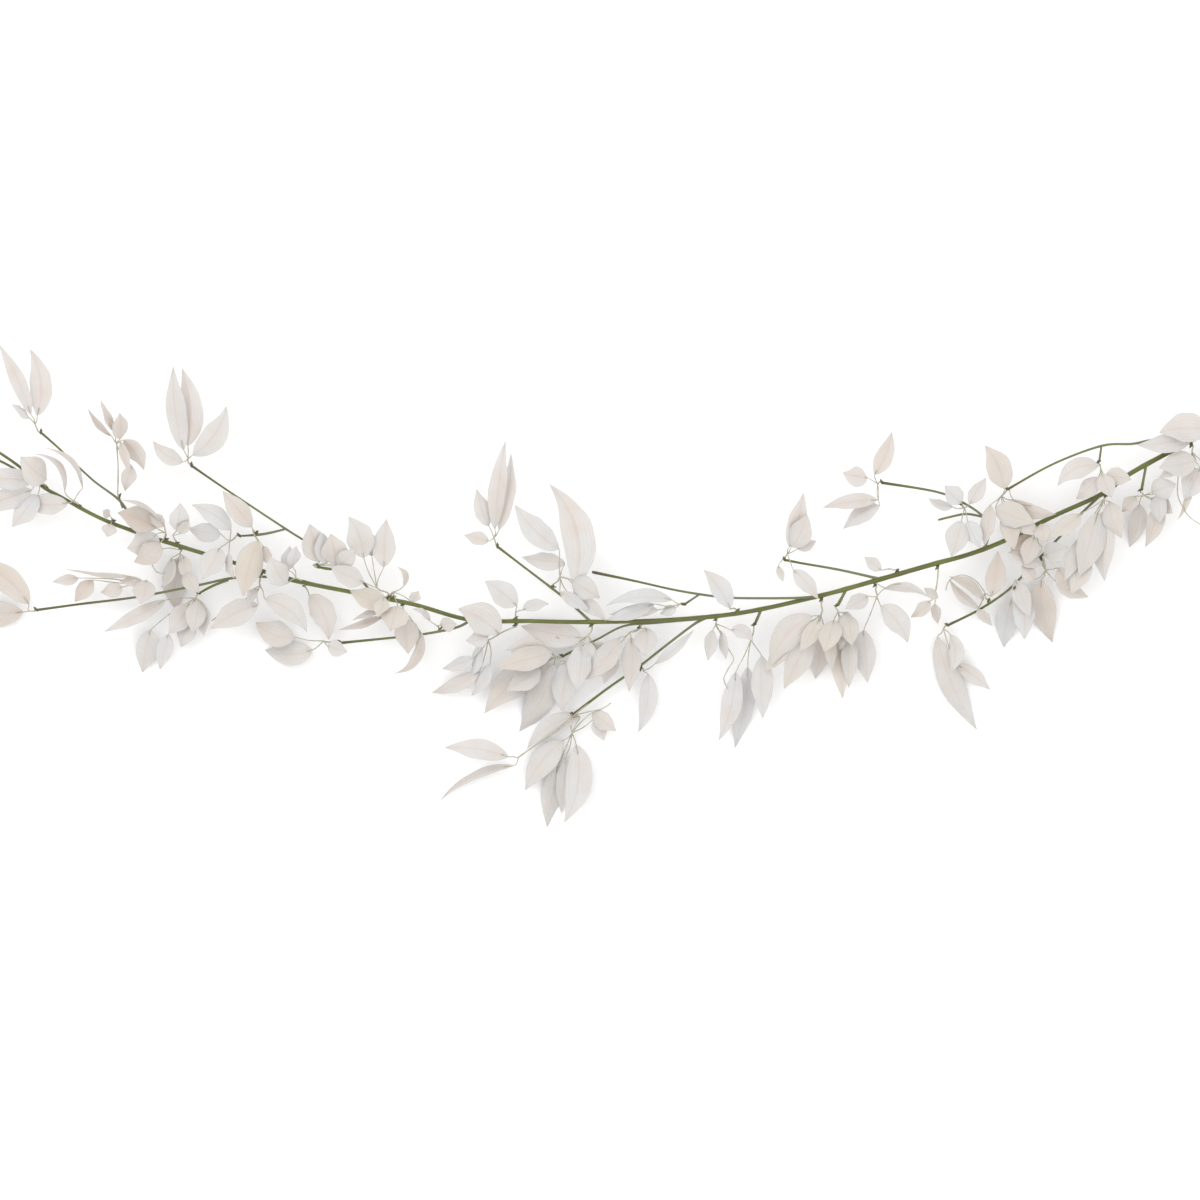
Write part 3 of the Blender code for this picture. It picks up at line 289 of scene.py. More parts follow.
        (874, 475, 891, 432, 14, 10, 5, -2), (867, 478, 842, 473, 16, 12, 3, 1),
        (877, 500, 822, 508, 13, 25, -3, -2), (879, 506, 843, 529, 14, 18, -8, -2))),
    ("small_bud", (897, 574), (888, 569, 4), (
        (881, 570, 864, 557, 10, 12, 3, 0),)),
    ("crossed", (937, 563), (934, 597, -5), (
        (930, 601, 911, 617, 11, 25, -3, 1), (935, 604, 938, 624, 9, 30, -5, 0),
        (938, 598, 924, 588, 8, 20, 2, 0))),
    ("high_right_side", (962, 502), (964, 508, 3), (
        (961, 503, 944, 486, 15, 10, 3, 0), (969, 504, 985, 478, 12, 15, 5, 0),
        (961, 521, 951, 557, 18, 10, -5, 0), (952, 507, 928, 498, 9, 30, -2, 2),
        (967, 521, 980, 548, 14, 10, -3, 0))),
    ("far_right_tip", (1008, 489), (1001, 496, 1), (
        (1004, 489, 984, 446, 20, 8, 5, -3), (990, 505, 984, 546, 12, 15, -3, 0),
        (995, 508, 1034, 523, 20, 8, 2, 0), (1010, 500, 1056, 514, 12, 15, -3, -4),
        (1006, 512, 1014, 550, 15, 10, 0, 0), (1012, 516, 1040, 536, 13, 10, -1, 0))),
    ("low_right_curls", (990, 603), (985, 593, 5), (
        (984, 600, 949, 577, 12, 40, 2, -4), (992, 596, 998, 551, 16, 10, 3, -1),
        (978, 609, 993, 626, 9, 35, -6, 0), (979, 608, 950, 579, 8, 20, -3, 3))),
    ("low_right_tip", (948, 625), (944, 629, 0), (
        (938, 637, 978, 730, 19, 10, -2, -4), (951, 635, 951, 672, 13, 25, 2, 5),
        (958, 665, 991, 690, 12, 15, -3, 1))),
    ("right_low", (1014, 585), (1015, 592, 2), (
        (1012, 600, 1005, 648, 17, 8, -3, -1), (1022, 594, 1025, 640, 17, -8, -5, 1),
        (1016, 580, 1030, 618, 14, 10, 2, 0))),
    ("right_middle", (1040, 557), (1046, 570, 3), (
        (1042, 580, 1054, 643, 20, 8, -4, -3), (1057, 582, 1089, 597, 13, 20, -3, -1),
        (1058, 568, 1074, 592, 15, 15, 2, 0), (1034, 580, 1022, 566, 12, 20, 2, 0),
        (1044, 556, 1067, 547, 17, 10, 5, 0), (1042, 564, 1008, 552, 13, 15, 4, 0))),
    ("right_brown", (1036, 525), (1030, 532, 6), (
        (1031, 534, 1011, 553, 21, 10, 2, 1), (1034, 537, 1025, 566, 15, -10, -3, 0),
        (1041, 524, 1044, 543, 13, 12, 3, 0))),
    ("right_column", (1104, 492), (1104, 499, 4), (
        (1106, 510, 1105, 581, 20, 10, -5, -3), (1097, 513, 1078, 577, 22, -8, -2, 2),
        (1110, 502, 1122, 538, 17, 12, -4, -2), (1080, 514, 1047, 537, 14, 20, 5, 1),
        (1087, 556, 1071, 594, 17, 10, -4, 0), (1084, 536, 1064, 582, 13, 12, 1, 0))),
    ("right_stub_tip", (1142, 490), (1144, 495, -2), (
        (1160, 502, 1146, 547, 14, 15, -5, 2), (1140, 504, 1131, 547, 14, -10, -7, 2),
        (1152, 492, 1176, 484, 18, 12, 4, 0), (1136, 496, 1122, 512, 11, 15, 3, 0),
        (1152, 498, 1173, 513, 15, 10, 1, 0), (1158, 494, 1160, 524, 13, 10, -3, 0))),
    ("far_right_fork_tip", (1099, 462), (1100, 466, 1), (
        (1098, 466, 1057, 486, 16, 10, 3, -6), (1098, 477, 1076, 499, 14, 15, -3, 1),
        (1105, 476, 1131, 480, 14, 10, 2, 1), (1101, 474, 1111, 498, 14, -10, 4, 0))),
    ("base_upper", (1196, 438), (1200, 431, 6), (
        (1192, 438, 1136, 445, 15, 10, 3, 2), (1208, 430, 1158, 433, 23, 8, 5, -3),
        (1212, 424, 1248, 400, 16, 12, 3, 0))),
    ("base_lower", (1190, 442), (1192, 452, 3), (
        (1196, 461, 1158, 468, 20, 10, 5, 0), (1200, 468, 1184, 500, 18, 8, -4, 0),
        (1204, 462, 1242, 484, 18, 10, -4, 0), (1190, 470, 1178, 520, 7, 35, -6, 4),
        (1186, 462, 1158, 478, 10, 15, 2, 0))),
)

# Leaves that reach down to the surface: spray name, index of the leaf
FEET = (
    ("second_tip", 1), ("low_left_tip", 1), ("hanging_west", 0), ("lower_middle_tip", 1),
    ("south_west", 2), ("fan", 2), ("lowest", 1), ("lowest_left", 1), ("long_below", 1),
    ("beige_left", 2), ("low_right_tip", 0), ("right_middle", 0), ("right_stub_tip", 1),
    ("base_lower", 2), ("right_low", 0), ("low_left_fork_tip", 1),
)


def place(x, y, height):
    """A point of the plan at a height in millimetres, as a position in metres."""
    return Vector(((x - PLAN_CENTRE[0]) * GRID, (PLAN_CENTRE[1] - y) * GRID, height * MM))


def smooth(points, pieces_of):
    """Points along a smooth curve through points; pieces_of says how many for a stretch's two ends."""
    out = []
    for i in range(len(points) - 1):
        before = points[max(i - 1, 0)]
        start, end = points[i], points[i + 1]
        after = points[min(i + 2, len(points) - 1)]
        pieces = pieces_of(start, end)
        for k in range(pieces):
            t = k / pieces
            out.append(0.5 * (2 * start + (end - before) * t
                              + (2 * before - 5 * start + 4 * end - after) * t ** 2
                              + (3 * start - before - 3 * end + after) * t ** 3))
    out.append(points[-1])
    return out


def smooth_run(points, step):
    """Positions and radii every step plan units or so through (x, y, height, thickness)."""
    run = smooth([Vector(p) for p in points],
                 lambda start, end: max(1, round((end - start).xy.length / step)))
    return [(place(p[0], p[1], p[2]), p[3] * 0.5 * MM) for p in run]


def spaced(points, step):
    """Positions every step or so along a smooth curve through positions."""
    return smooth(points, lambda start, end: max(2, round((end - start).length / step)))


def new_object(name, data):
    """A new object of the scene."""
    made = bpy.data.objects.new(name, data)
    bpy.context.scene.collection.objects.link(made)
    return made


def tube(name, run, level):
    """A closed tube along positions with radii; level 0 has 4 sides, and each level adds 2."""
    curve = bpy.data.curves.new(name, "CURVE")
    curve.dimensions = "3D"
    curve.bevel_depth = 1.0
    curve.bevel_resolution = level
    curve.use_fill_caps = True
    spline = curve.splines.new("POLY")
    spline.points.add(len(run) - 1)
    for point, (position, radius) in zip(spline.points, run):
        point.co = (*position, 1.0)
        point.radius = radius
    made = new_object(name, curve)
    drawn = bpy.data.meshes.new_from_object(made.evaluated_get(bpy.context.evaluated_depsgraph_get()))
    bpy.data.objects.remove(made, do_unlink=True)
    bpy.data.curves.remove(curve)
    mesh = bmesh.new()
    mesh.from_mesh(drawn)
    bmesh.ops.remove_doubles(mesh, verts=mesh.verts, dist=CLOSE)
    bmesh.ops.recalc_face_normals(mesh, faces=mesh.faces)
    return to_mesh(mesh, name)


def blade_width(share):
    """Width of a blade at a share of its length: widest before the middle, drawn out to the point."""
    return max(0.0, math.sin(math.pi * share ** FULLEST_AT)) ** FULLNESS


def blade_rows(leaf):
    return NARROW_ROWS if leaf[4] <= NARROW_WIDTH else BLADE_ROWS


def blade_line(leaf, hub, shift, arch, rows):
    """Centre line of a leaf's blade from its neck to its point, at shares of its length."""
    neck_x, neck_y, tip_x, tip_y, _, _, rise, bow = leaf
    rise = max(rise, rise * LIFT)
    neck = place(neck_x, neck_y, 0.0)
    tip = place(tip_x, tip_y, 0.0)
    neck.z = hub.z + (shift * BEND_AT_NECK + rise * NECK_RISE) * MM
    tip.z = neck.z + (rise + shift) * MM
    run = tip - neck
    left = Vector((-run.y, run.x, 0.0)).normalized()
    line = []
    for share in rows:
        hump = 4.0 * share * (1.0 - share)
        line.append(neck + run * share + left * (bow * MM * hump) + Vector((0, 0, arch * MM * hump)))
    return line


def blade_frame(line, row, turn):
    """Directions across a blade and out of its face at a row of its line, turned by an angle."""
    before = line[max(row - 1, 0)]
    after = line[min(row + 1, len(line) - 1)]
    along = (after - before).normalized()
    flat = Vector((-along.y, along.x, 0.0)).normalized()
    up = along.cross(flat) * -1.0
    if up.z < 0:
        up = -up
    side = flat * math.cos(turn) + up * math.sin(turn)
    face = up * math.cos(turn) - flat * math.sin(turn)
    return side, face


def two_skins(mesh, lifts, close):
    """Copy a sheet, move the copy and the sheet apart by each point's lift, and join their rims."""
    copied = bmesh.ops.duplicate(mesh, geom=mesh.verts[:] + mesh.edges[:] + mesh.faces[:])
    under = [item for item in copied["geom"] if isinstance(item, bmesh.types.BMFace)]
    for vertex, lift in lifts.items():
        copied["vert_map"][vertex].co = vertex.co - lift
        vertex.co = vertex.co + lift
    bmesh.ops.reverse_faces(mesh, faces=under)
    bmesh.ops.remove_doubles(mesh, verts=mesh.verts, dist=close)


def leaf_draws(key):
    """A leaf's twist, cup and arch, the same for its solid and for its fine blade."""
    draw = random.Random(key)
    twist = draw.uniform(-TWIST, TWIST)
    cup = draw.choice((-1.0, 1.0)) * draw.uniform(*CUP)
    return twist, cup, draw.uniform(*ARCH)


def blade_mesh(leaf, hub, shift, spare, key, outer=False):
    """One closed blade with its own little stalk back to the fork, thick at the rib and thin at the edge."""
    width, roll = leaf[4] * MM, leaf[5]
    twist, cup, arch = leaf_draws(key)
    line = blade_line(leaf, hub, shift, arch, blade_rows(leaf))
    positions = [hub] + line
    rows = [(HUB_WIDTH * MM, 0.0, 0.0)]
    for share in blade_rows(leaf):
        full = width * blade_width(share)
        narrow = NECK_WIDTH if share < 0.5 else TIP_WIDTH
        rows.append((max(full, narrow * MM), roll + twist * (share - 0.5), cup * full))
    if outer:
        positions = positions[2:]
        rows = rows[2:]
    mesh = bmesh.new()
    bmesh.ops.create_grid(mesh, x_segments=2, y_segments=len(rows) - 1, size=1.0)
    top = sorted(mesh.verts, key=lambda v: (round(v.co.y, 4), round(v.co.x, 4)))
    half = (BLADE_THICKNESS * 0.5 + spare) * MM
    ribs = {}
    for index, vertex in enumerate(top):
        row, column = divmod(index, 3)
        wide, turn, dip = rows[row]
        side, face = blade_frame(positions, row, math.radians(turn))
        if column == 1:
            vertex.co = positions[row] - face * dip
            ribs[vertex] = face * half * (1.0 if 0 < row < len(rows) - 1 else HUB_THICKNESS)
        else:
            vertex.co = positions[row] + side * ((column - 1) * (wide * 0.5 + spare * MM))
    bmesh.ops.triangulate(mesh, faces=mesh.faces)
    two_skins(mesh, ribs, CLOSE)
    bmesh.ops.holes_fill(mesh, edges=[e for e in mesh.edges if e.is_boundary], sides=4)
    bmesh.ops.triangulate(mesh, faces=mesh.faces)
    bmesh.ops.recalc_face_normals(mesh, faces=mesh.faces)
    return to_mesh(mesh, key)


def to_mesh(built, name):
    made = bpy.data.meshes.new(name)
    built.to_mesh(made)
    built.free()
    return made


def tree_of(mesh):
    """A search tree of a mesh's faces, which takes the place of the mesh."""
    faces = [tuple(p.vertices) for p in mesh.polygons]
    tree = BVHTree.FromPolygons([v.co.copy() for v in mesh.vertices], faces)
    bpy.data.meshes.remove(mesh)
    return tree


def lowest(mesh):
    return min(v.co.z for v in mesh.vertices)


def root_run(root, hub_plan, axes):
    """Where a spray's stalk starts on the green stem, and the line it takes to its fork."""
    seat = place(root[0], root[1], 0.0)
    best = None
    for run in axes:
        for i in range(len(run) - 1):
            (start, thick), (end, thin) = run[i], run[i + 1]
            stretch = end - start
            share = (seat - start).xy.dot(stretch.xy) / stretch.xy.length_squared
            share = min(1.0, max(0.0, share))
            point = start + stretch * share
            distance = (point.xy - seat.xy).length
            if best is None or distance < best[0]:
                at_tip = share > TIP_SHARE and i == len(run) - 2
                best = (distance, point, thick + (thin - thick) * share, stretch.normalized(), at_tip)
    _, point, radius, along, at_tip = best
    hub = place(hub_plan[0], hub_plan[1], point.z / MM + hub_plan[2])
    if at_tip:
        away = along
        start = point + away * SEAT_GAP * MM
    else:
        away = hub - point
        away = (away - along * away.dot(along)).normalized()
        start = point + away * (radius + SEAT_GAP * MM)
    bend = start + away * ROOT_RUN * MM
    return [start, bend, hub]


def stalk_run(points):
    """A spray's stalk from its root to a small knot round the fork, which the leaves grow from."""
    start, bend, hub = points
    length = (hub - bend).length
    middle = bend.lerp(hub, 0.5) + Vector((0, 0, STALK_LIFT * length))
    way = [start, bend, middle] if length > SHORT_STALK * MM else [start, bend]
    reach = (hub - way[-1]).normalized() * KNOT_REACH * MM
    thin = STALK_RADIUS * MM
    run = [(p, thin) for p in way]
    return run + [(hub - reach, thin), (hub, KNOT_RADIUS * MM), (hub + reach, thin * 0.5)]


def clear_bend(leaf, hub, key, steps, others, sisters, foot):
    """The first bend that keeps a leaf clear of the other sprays, and its blade clear of its sisters'."""
    for shift in steps:
        whole = blade_mesh(leaf, hub, shift, CLEARANCE * 0.5, key)
        low = lowest(whole) / MM + CLEARANCE * 0.5
        whole_tree = tree_of(whole)
        outer_tree = tree_of(blade_mesh(leaf, hub, shift, CLEARANCE * 0.25, key, outer=True))
        if low < MIN_HEIGHT and not foot:
            continue
        if any(whole_tree.overlap(tree) for tree in others):
            continue
        if any(outer_tree.overlap(tree) for tree in sisters):
            continue
        return shift
    return None


def foot_bend(leaf, hub, key):
    """The bend that brings the lowest point of a leaf a hair under the surface."""
    shift = HIGHEST_BEND
    reach = HIGHEST_BEND
    while reach > -FOOT_DEPTH:
        mesh = blade_mesh(leaf, hub, shift, 0.0, key)
        reach = lowest(mesh) / MM
        bpy.data.meshes.remove(mesh)
        shift -= 0.5
    return shift + 0.5


# Fine leaves, in millimetres where not shares of a width or of a length
FINE_ROWS = 26
FINE_COLUMNS = 10
FINE_WIDTH = 1.10
RIB_HALF = 0.24
BESIDE_RIB = 0.6
THIN_EDGE = 0.7
EDGE_WAVE = (0.25, 0.9)
WAVES = (0.8, 2.2)
OTHER_EDGE = 1.3
HOOK = (-0.5, 2.5)
HOOK_FROM = 0.7
SKEW = 0.06
RAGGED = 0.03
NICKS = (1.6, 3.6)
CUPPED = 1.6
DRAWN_OUT = 0.72
DRAWN_FROM = 0.62
FINE_NECK = 0.9
FINE_TIP = 0.12
LOWEST = 0.3

# Little stalks, and the spray's stalk, in millimetres
PETIOLE_RADIUS = 0.5
PETIOLE_TAPER = 0.4
PETIOLE_BEND = (0.12, 2.0)
STALK_SIDES = 6
STALK_STEP = 2.5
STALK_SLIM = 0.85
STALK_CURL = 0.9
STALK_TURNS = (0.5, 1.6)
ROOT_SUNK = 1.7
CURL_RADIUS = 0.45

# Green stem: ridges and nodes, and how much slimmer than its solid it is
STEM_SIDES = 18
STEM_FINE_STEP = 4.0
STEM_SLIM = 0.73
SHOOT_SLIM = 0.76
TIP_SLIM = 0.8
RIDGES = 6
RIDGE_DEPTH = 0.03
SWELL = 0.12
SWELL_REACH = 4.5
LEVEL_ENOUGH = 0.3

# Dry scale leaves at the nodes, in millimetres, and how far one leans out and on
BRACT_LENGTH = 4.2
BRACT_WIDTH = 2.6
BRACT_ROLL = 30
BRACT_LEAN = (0.55, 0.75)
BRACT_BACK = 1.2
BRACT_SUNK = 1.1
BRACT_RISE = 1.25
BRACT_TONE = 0.5

# Colours, linear; the share before a colour is its leaf's tone, or its stem's age
LEAF_TONES = ((0.0, (0.58, 0.595, 0.605)), (0.35, (0.595, 0.58, 0.57)), (0.65, (0.595, 0.56, 0.54)),
              (1.0, (0.585, 0.55, 0.50)))
LEAF_SHADE = (0.51, 0.465, 0.43)
VEIN_COLOUR = (0.45, 0.41, 0.38)
MARGIN_COLOUR = (0.52, 0.50, 0.47)
BROWN_COLOUR = (0.47, 0.365, 0.27)
STALK_TONES = ((0.0, (0.34, 0.33, 0.25)), (1.0, (0.52, 0.49, 0.40)))
BARK_TONES = ((0.0, (0.17, 0.17, 0.11)), (0.35, (0.120, 0.135, 0.045)), (0.55, (0.100, 0.112, 0.012)),
              (1.0, (0.08, 0.07, 0.035)))
BARK_LIGHT = (0.215, 0.245, 0.035)
# Darkest bark colour, used for the bark's own fine stripes and for painted shade along the flanks of the
# stems
BARK_STRIPES_AND_SHADE = (0.05, 0.055, 0.018)
BARK_BROWN = (0.11, 0.08, 0.04)
PATCHES = 0.7
VEINS = 9.0
MARGIN_FROM = 0.80

# Age of a stem or stalk at its two ends, from 0 fresh to 1 brown; it comes late along the run
MAIN_AGES = (0.5, 0.6)
SHOOT_AGES = (0.1, 0.95)
STALK_AGES = (0.1, 0.0)
CURL_AGES = (0.2, 0.5)
BRACT_AGE = 0.9
LATE = 3

# Floor, lights and camera
FLOOR_SIZE = 30.0
FLOOR_DROP = 0.0002
FLOOR_TONE = (0.95, 0.95, 0.95)
FLOOR_TONE_TWO = (0.965, 0.965, 0.965)
LIGHTS = (("key", (-1.6, 1.8, 3.0), 30.0, 2.4), ("fill", (2.2, -1.4, 2.6), 14.0, 2.8))
SKY = (1.0, 1.0, 1.0)
SKY_STRENGTH = 1.15
VIEW_CENTRE = (600.0, 600.0)
VIEW_HEIGHT = 27.0
VIEW_WIDTH = 1.0
VIEW_DISTANCE = 10.0
SENSOR = 36.0

# How warm the leaves of a spray are: 0 cool grey, 0.5 blush, 1 cream
USUAL_WARMTH = 0.5
TONE_SPREAD = 0.18
WARMTH = {
    "upright": 0.55, "long_upper_tip": 0.45, "fork_leaves": 0.85, "fork_tip": 0.3, "low_ring": 0.45,
    "low_left_fork_tip": 0.45, "beside_ring": 0.2, "pink_pair": 0.7, "twin_points": 0.4, "cream_middle": 1.0,
    "hanging_west": 0.6, "west": 0.25, "upper_middle_tip": 0.6, "tall_middle": 0.15, "centre_point": 0.25,
    "fan": 0.6, "south_west": 0.4, "hanging_centre": 0.55, "lowest": 0.35, "single": 0.15, "long_below": 0.1,
    "short_point": 0.2, "long_right_fork": 0.15, "slim_below": 0.2, "beige_left": 0.85, "beige_right": 0.75,
    "dangling": 0.3, "high_right_side": 0.2, "right_low": 0.3, "right_middle": 0.65, "right_brown": 0.65,
    "right_column": 0.7, "right_stub_tip": 0.6, "base_upper": 0.35, "base_lower": 0.65, "far_right_tip": 0.55,
    "low_left_tip": 0.8,
}

# How brown the leaves of a spray are, and how much one differs from the next
USUAL_BROWN = 0.06
BROWN_SPREAD = (0.2, 1.6)
BROWN_LEAVES = {
    "brown_west": 0.28, "right_brown": 0.3, "far_right_tip": 0.17, "tall_middle": 0.22,
    "low_left_tip": 0.3, "low_right_curls": 0.2, "crossed": 0.25, "right_middle": 0.17,
    "low_left_upper": 0.23, "fork_leaves": 0.22, "cream_middle": 0.15, "right_stub_tip": 0.12,
    "pink_pair": 0.07, "upright": 0.12, "south_west": 0.07, "second_tip": 0.05,
    "base_lower": 0.1, "dangling": 0.07,
}

# Leaves seen edge on, as a share of their solid's width
NARROW = {"west_edge 0": 0.6, "west_edge 2": 0.55, "upper_left_tip 1": 0.88, "upright 0": 0.8}

# Loose dry curls of the stalks: spray, then x, y on the plan and height in mm
CURLS = (
    ("hanging_west", ((180, 550, 29), (168, 548, 32), (158, 552, 33), (152, 562, 31), (157, 572, 28),
                      (166, 574, 27))),
    ("base_lower", ((1180, 450, 30), (1178, 480, 26), (1178, 495, 24), (1183, 507, 23), (1190, 517, 20),
                    (1202, 525, 17))),
    ("slim_below", ((716, 624, 20), (728, 648, 17), (734, 659, 15), (729, 668, 14), (724, 679, 15),
                    (728, 689, 17))),
    ("far_right_tip", ((1009, 490, 35), (1012, 499, 38), (1021, 504, 39), (1031, 506, 37))),
    ("dangling", ((876, 583, 30), (885, 588, 31), (893, 585, 32), (903, 584, 31), (913, 587, 28))),
    ("right_brown", ((1036, 528, 32), (1038, 543, 34), (1042, 548, 33), (1036, 558, 29), (1022, 566, 24))),
    ("low_right_curls", ((985, 592, 18), (975, 580, 24), (962, 575, 27), (950, 580, 26), (946, 590, 22))),
    ("low_ring", ((261, 586, 30), (250, 596, 26), (236, 604, 20), (222, 613, 14), (211, 621, 10))),
    ("under_stem", ((588, 636, 20), (578, 642, 17), (566, 641, 16), (556, 637, 18))),
    ("lowest", ((572, 716, 8), (588, 712, 12), (602, 709, 15), (611, 703, 16))),
)


def new_skin(columns, rows):
    """A flat grid with its map, its points in order, and the layers of their tones and ages."""
    skin = bmesh.new()
    skin.loops.layers.uv.new("UVMap")
    tone_layer = skin.verts.layers.float.new("tone")
    age_layer = skin.verts.layers.float.new("age")
    bmesh.ops.create_grid(skin, x_segments=columns, y_segments=rows, size=1.0, calc_uvs=True)
    ordered = sorted(skin.verts, key=lambda v: (round(v.co.y, 5), v.co.x))
    return skin, ordered, tone_layer, age_layer


def sweep(built, run, sides, slot, ages, ridge=0.0):
    """Add a closed tube along positions with radii; ages are its two ends', ridge its ridges' depth."""
    rows = len(run) - 1
    skin, ordered, _, age_layer = new_skin(sides, rows)
    lean = Vector((0.0, 0.0, 1.0))
    for row in range(rows + 1):
        position, radius = run[row]
        before = run[max(row - 1, 0)][0]
        after = run[min(row + 1, rows)][0]
        along = (after - before).normalized()
        lean = (lean - along * lean.dot(along)).normalized()
        flat = along.cross(lean)
        for column in range(sides + 1):
            turn = TURN * (column % sides) / sides
            wide = radius * (1.0 + ridge * math.cos(RIDGES * turn))
            vertex = ordered[row * (sides + 1) + column]
            vertex.co = position + (flat * math.cos(turn) + lean * math.sin(turn)) * wide
            vertex[age_layer] = ages[0] + (ages[1] - ages[0]) * (row / rows) ** LATE
    bmesh.ops.remove_doubles(skin, verts=skin.verts, dist=FINE_CLOSE)
    bmesh.ops.holes_fill(skin, edges=[e for e in skin.edges if e.is_boundary], sides=0)
    bmesh.ops.recalc_face_normals(skin, faces=skin.faces)
    for face in skin.faces:
        face.smooth = len(face.verts) <= 4
    append(built, skin, slot)


def append(built, part, material_index):
    """Add one mesh to another, with the material slot it takes."""
    for face in part.faces:
        face.material_index = material_index
    mesh = to_mesh(part, "part")
    built.from_mesh(mesh)
    bpy.data.meshes.remove(mesh)


def fine_blade(built, leaf, hub, shift, key, tone, brown, stalked=True):
    """One thin leaf on the coarse leaf's own line, with a cupped, waved, drawn-out blade."""
    twist, cup, arch = leaf_draws(key)
    look = random.Random(key + " look")
    wave = look.uniform(*EDGE_WAVE) * MM
    beat = look.uniform(*WAVES)
    phase = look.uniform(0.0, TURN)
    hook = look.uniform(*HOOK) * MM
    skew = look.uniform(-SKEW, SKEW)
    nicks = (look.uniform(*NICKS), look.uniform(*NICKS))
    width, roll = leaf[4] * NARROW.get(key, 1.0) * MM, leaf[5]
    stops = [row / FINE_ROWS for row in range(FINE_ROWS + 1)]
    line = blade_line(leaf, hub, shift, arch, stops)
    skin, ordered, tone_layer, age_layer = new_skin(FINE_COLUMNS, FINE_ROWS)
    lifts = {}
    for row, share in enumerate(stops):
        side, face = blade_frame(line, row, math.radians(roll + twist * (share - 0.5)))
        drawn = 1.0 - DRAWN_OUT * max(0.0, share - DRAWN_FROM)
        full = width * FINE_WIDTH * blade_width(share) * drawn
        wide = max(full, (FINE_NECK if share < 0.5 else FINE_TIP) * MM)
        hooked = hook * (max(0.0, share - HOOK_FROM) / (1.0 - HOOK_FROM)) ** 2
        point = line[row] - Vector((0, 0, hooked))
        for column in range(FINE_COLUMNS + 1):
            u = 2.0 * column / FINE_COLUMNS - 1.0
            right = u > 0
            edge = abs(u)
            dip = cup * full * (1.0 - edge ** CUPPED)
            beats = TURN * beat * share + phase + OTHER_EDGE * right
            ripple = wave * edge ** 2 * math.sin(beats) * math.sin(math.pi * share)
            ragged = 1.0 + RAGGED * math.sin(TURN * nicks[right] * share + phase * (2 + right))
            across = u * 0.5 * wide * ragged + skew * full * (1.0 - edge)
            vertex = ordered[row * (FINE_COLUMNS + 1) + column]
            vertex.co = point + side * across + face * (ripple - dip)
            vertex.co.z = max(vertex.co.z, LOWEST * MM)
            if 0 < row < FINE_ROWS and 0 < column < FINE_COLUMNS:
                rib = 1.0 if column == FINE_COLUMNS // 2 else BESIDE_RIB
                thick = RIB_HALF * MM * rib * (1.0 - THIN_EDGE * edge)
                lifts[vertex] = face * thick * min(1.0, wide / (2.0 * MM))
    for item in skin.edges:
        item.smooth = not item.is_boundary
    two_skins(skin, lifts, FINE_CLOSE)
    bmesh.ops.recalc_face_normals(skin, faces=skin.faces)
    for vertex in skin.verts:
        vertex[tone_layer] = tone
        vertex[age_layer] = brown
    for item in skin.faces:
        item.smooth = True
    append(built, skin, 0)
    if stalked:
        petiole(built, hub, line, look, brown)


def petiole(built, hub, line, look, brown):
    """A leaf's own little stalk from the fork into its blade, bent a little to one side."""
    neck, within = line[0], line[3]
    share, most = PETIOLE_BEND
    away = Vector((look.uniform(-1, 1), look.uniform(-1, 1), look.uniform(-0.4, 1)))
    middle = hub.lerp(neck, 0.5) + away * min((neck - hub).length * share, most * MM)
    way = spaced([hub, middle, neck, within], STALK_STEP * MM)
    run = []
    for k, point in enumerate(way):
        run.append((point, PETIOLE_RADIUS * MM * (1.0 - PETIOLE_TAPER * k / (len(way) - 1))))
    sweep(built, run, STALK_SIDES, 1, (brown, brown))


def fine_stem(axes_points, roots):
    """The green stem and its shoots, round and finely ridged, a little thicker at each node."""
    built = bmesh.new()
    for index, (points, ages) in enumerate(axes_points):
        run = []
        slim = SHOOT_SLIM if index else STEM_SLIM
        for position, radius in smooth_run(points, STEM_FINE_STEP * MM / GRID):
            near = min((position - root).length for root in roots) / (SWELL_REACH * MM)
            run.append((position, radius * slim * (1.0 + SWELL * math.exp(-near * near))))
        last, thin = run[-1]
        run[-1] = (last, thin * TIP_SLIM)
        sweep(built, run, STEM_SIDES, 0, ages, RIDGE_DEPTH)
    return built


def bract(built, start, along, away, key):
    """A small dry scale leaf at a node, which clasps the root of a spray."""
    out, on = BRACT_LEAN
    tip = start + (away * out + along * on) * BRACT_LENGTH * MM
    neck = start - along * BRACT_BACK * MM - away * BRACT_SUNK * MM
    leaf = (neck.x / GRID + PLAN_CENTRE[0], PLAN_CENTRE[1] - neck.y / GRID,
            tip.x / GRID + PLAN_CENTRE[0], PLAN_CENTRE[1] - tip.y / GRID,
            BRACT_WIDTH, BRACT_ROLL, (tip.z - neck.z) / MM / BRACT_RISE, 0)
    fine_blade(built, leaf, neck, 0.0, key, BRACT_TONE, BRACT_AGE, stalked=False)


def finished(built, name, slots):
    """A piece from a built mesh, with its material slots, at the origin."""
    mesh = to_mesh(built, name)
    for item in slots:
        mesh.materials.append(item)
    return new_object(name, mesh)


# Materials

def material(name, roughness, specular):
    """A new material, its node tree and its shader."""
    made = bpy.data.materials.new(name)
    made.use_nodes = True
    tree = made.node_tree
    shader = tree.nodes["Principled BSDF"]
    shader.inputs["Roughness"].default_value = roughness
    shader.inputs["Specular IOR Level"].default_value = specular
    return made, tree, shader


def number(tree, kind, *values, clamp=False):
    """A maths node; values are numbers or sockets."""
    node = tree.nodes.new("ShaderNodeMath")
    node.operation = kind
    node.use_clamp = clamp
    for socket, value in zip(node.inputs, values):
        if isinstance(value, (int, float)):
            socket.default_value = value
        else:
            tree.links.new(value, socket)
    return node.outputs[0]


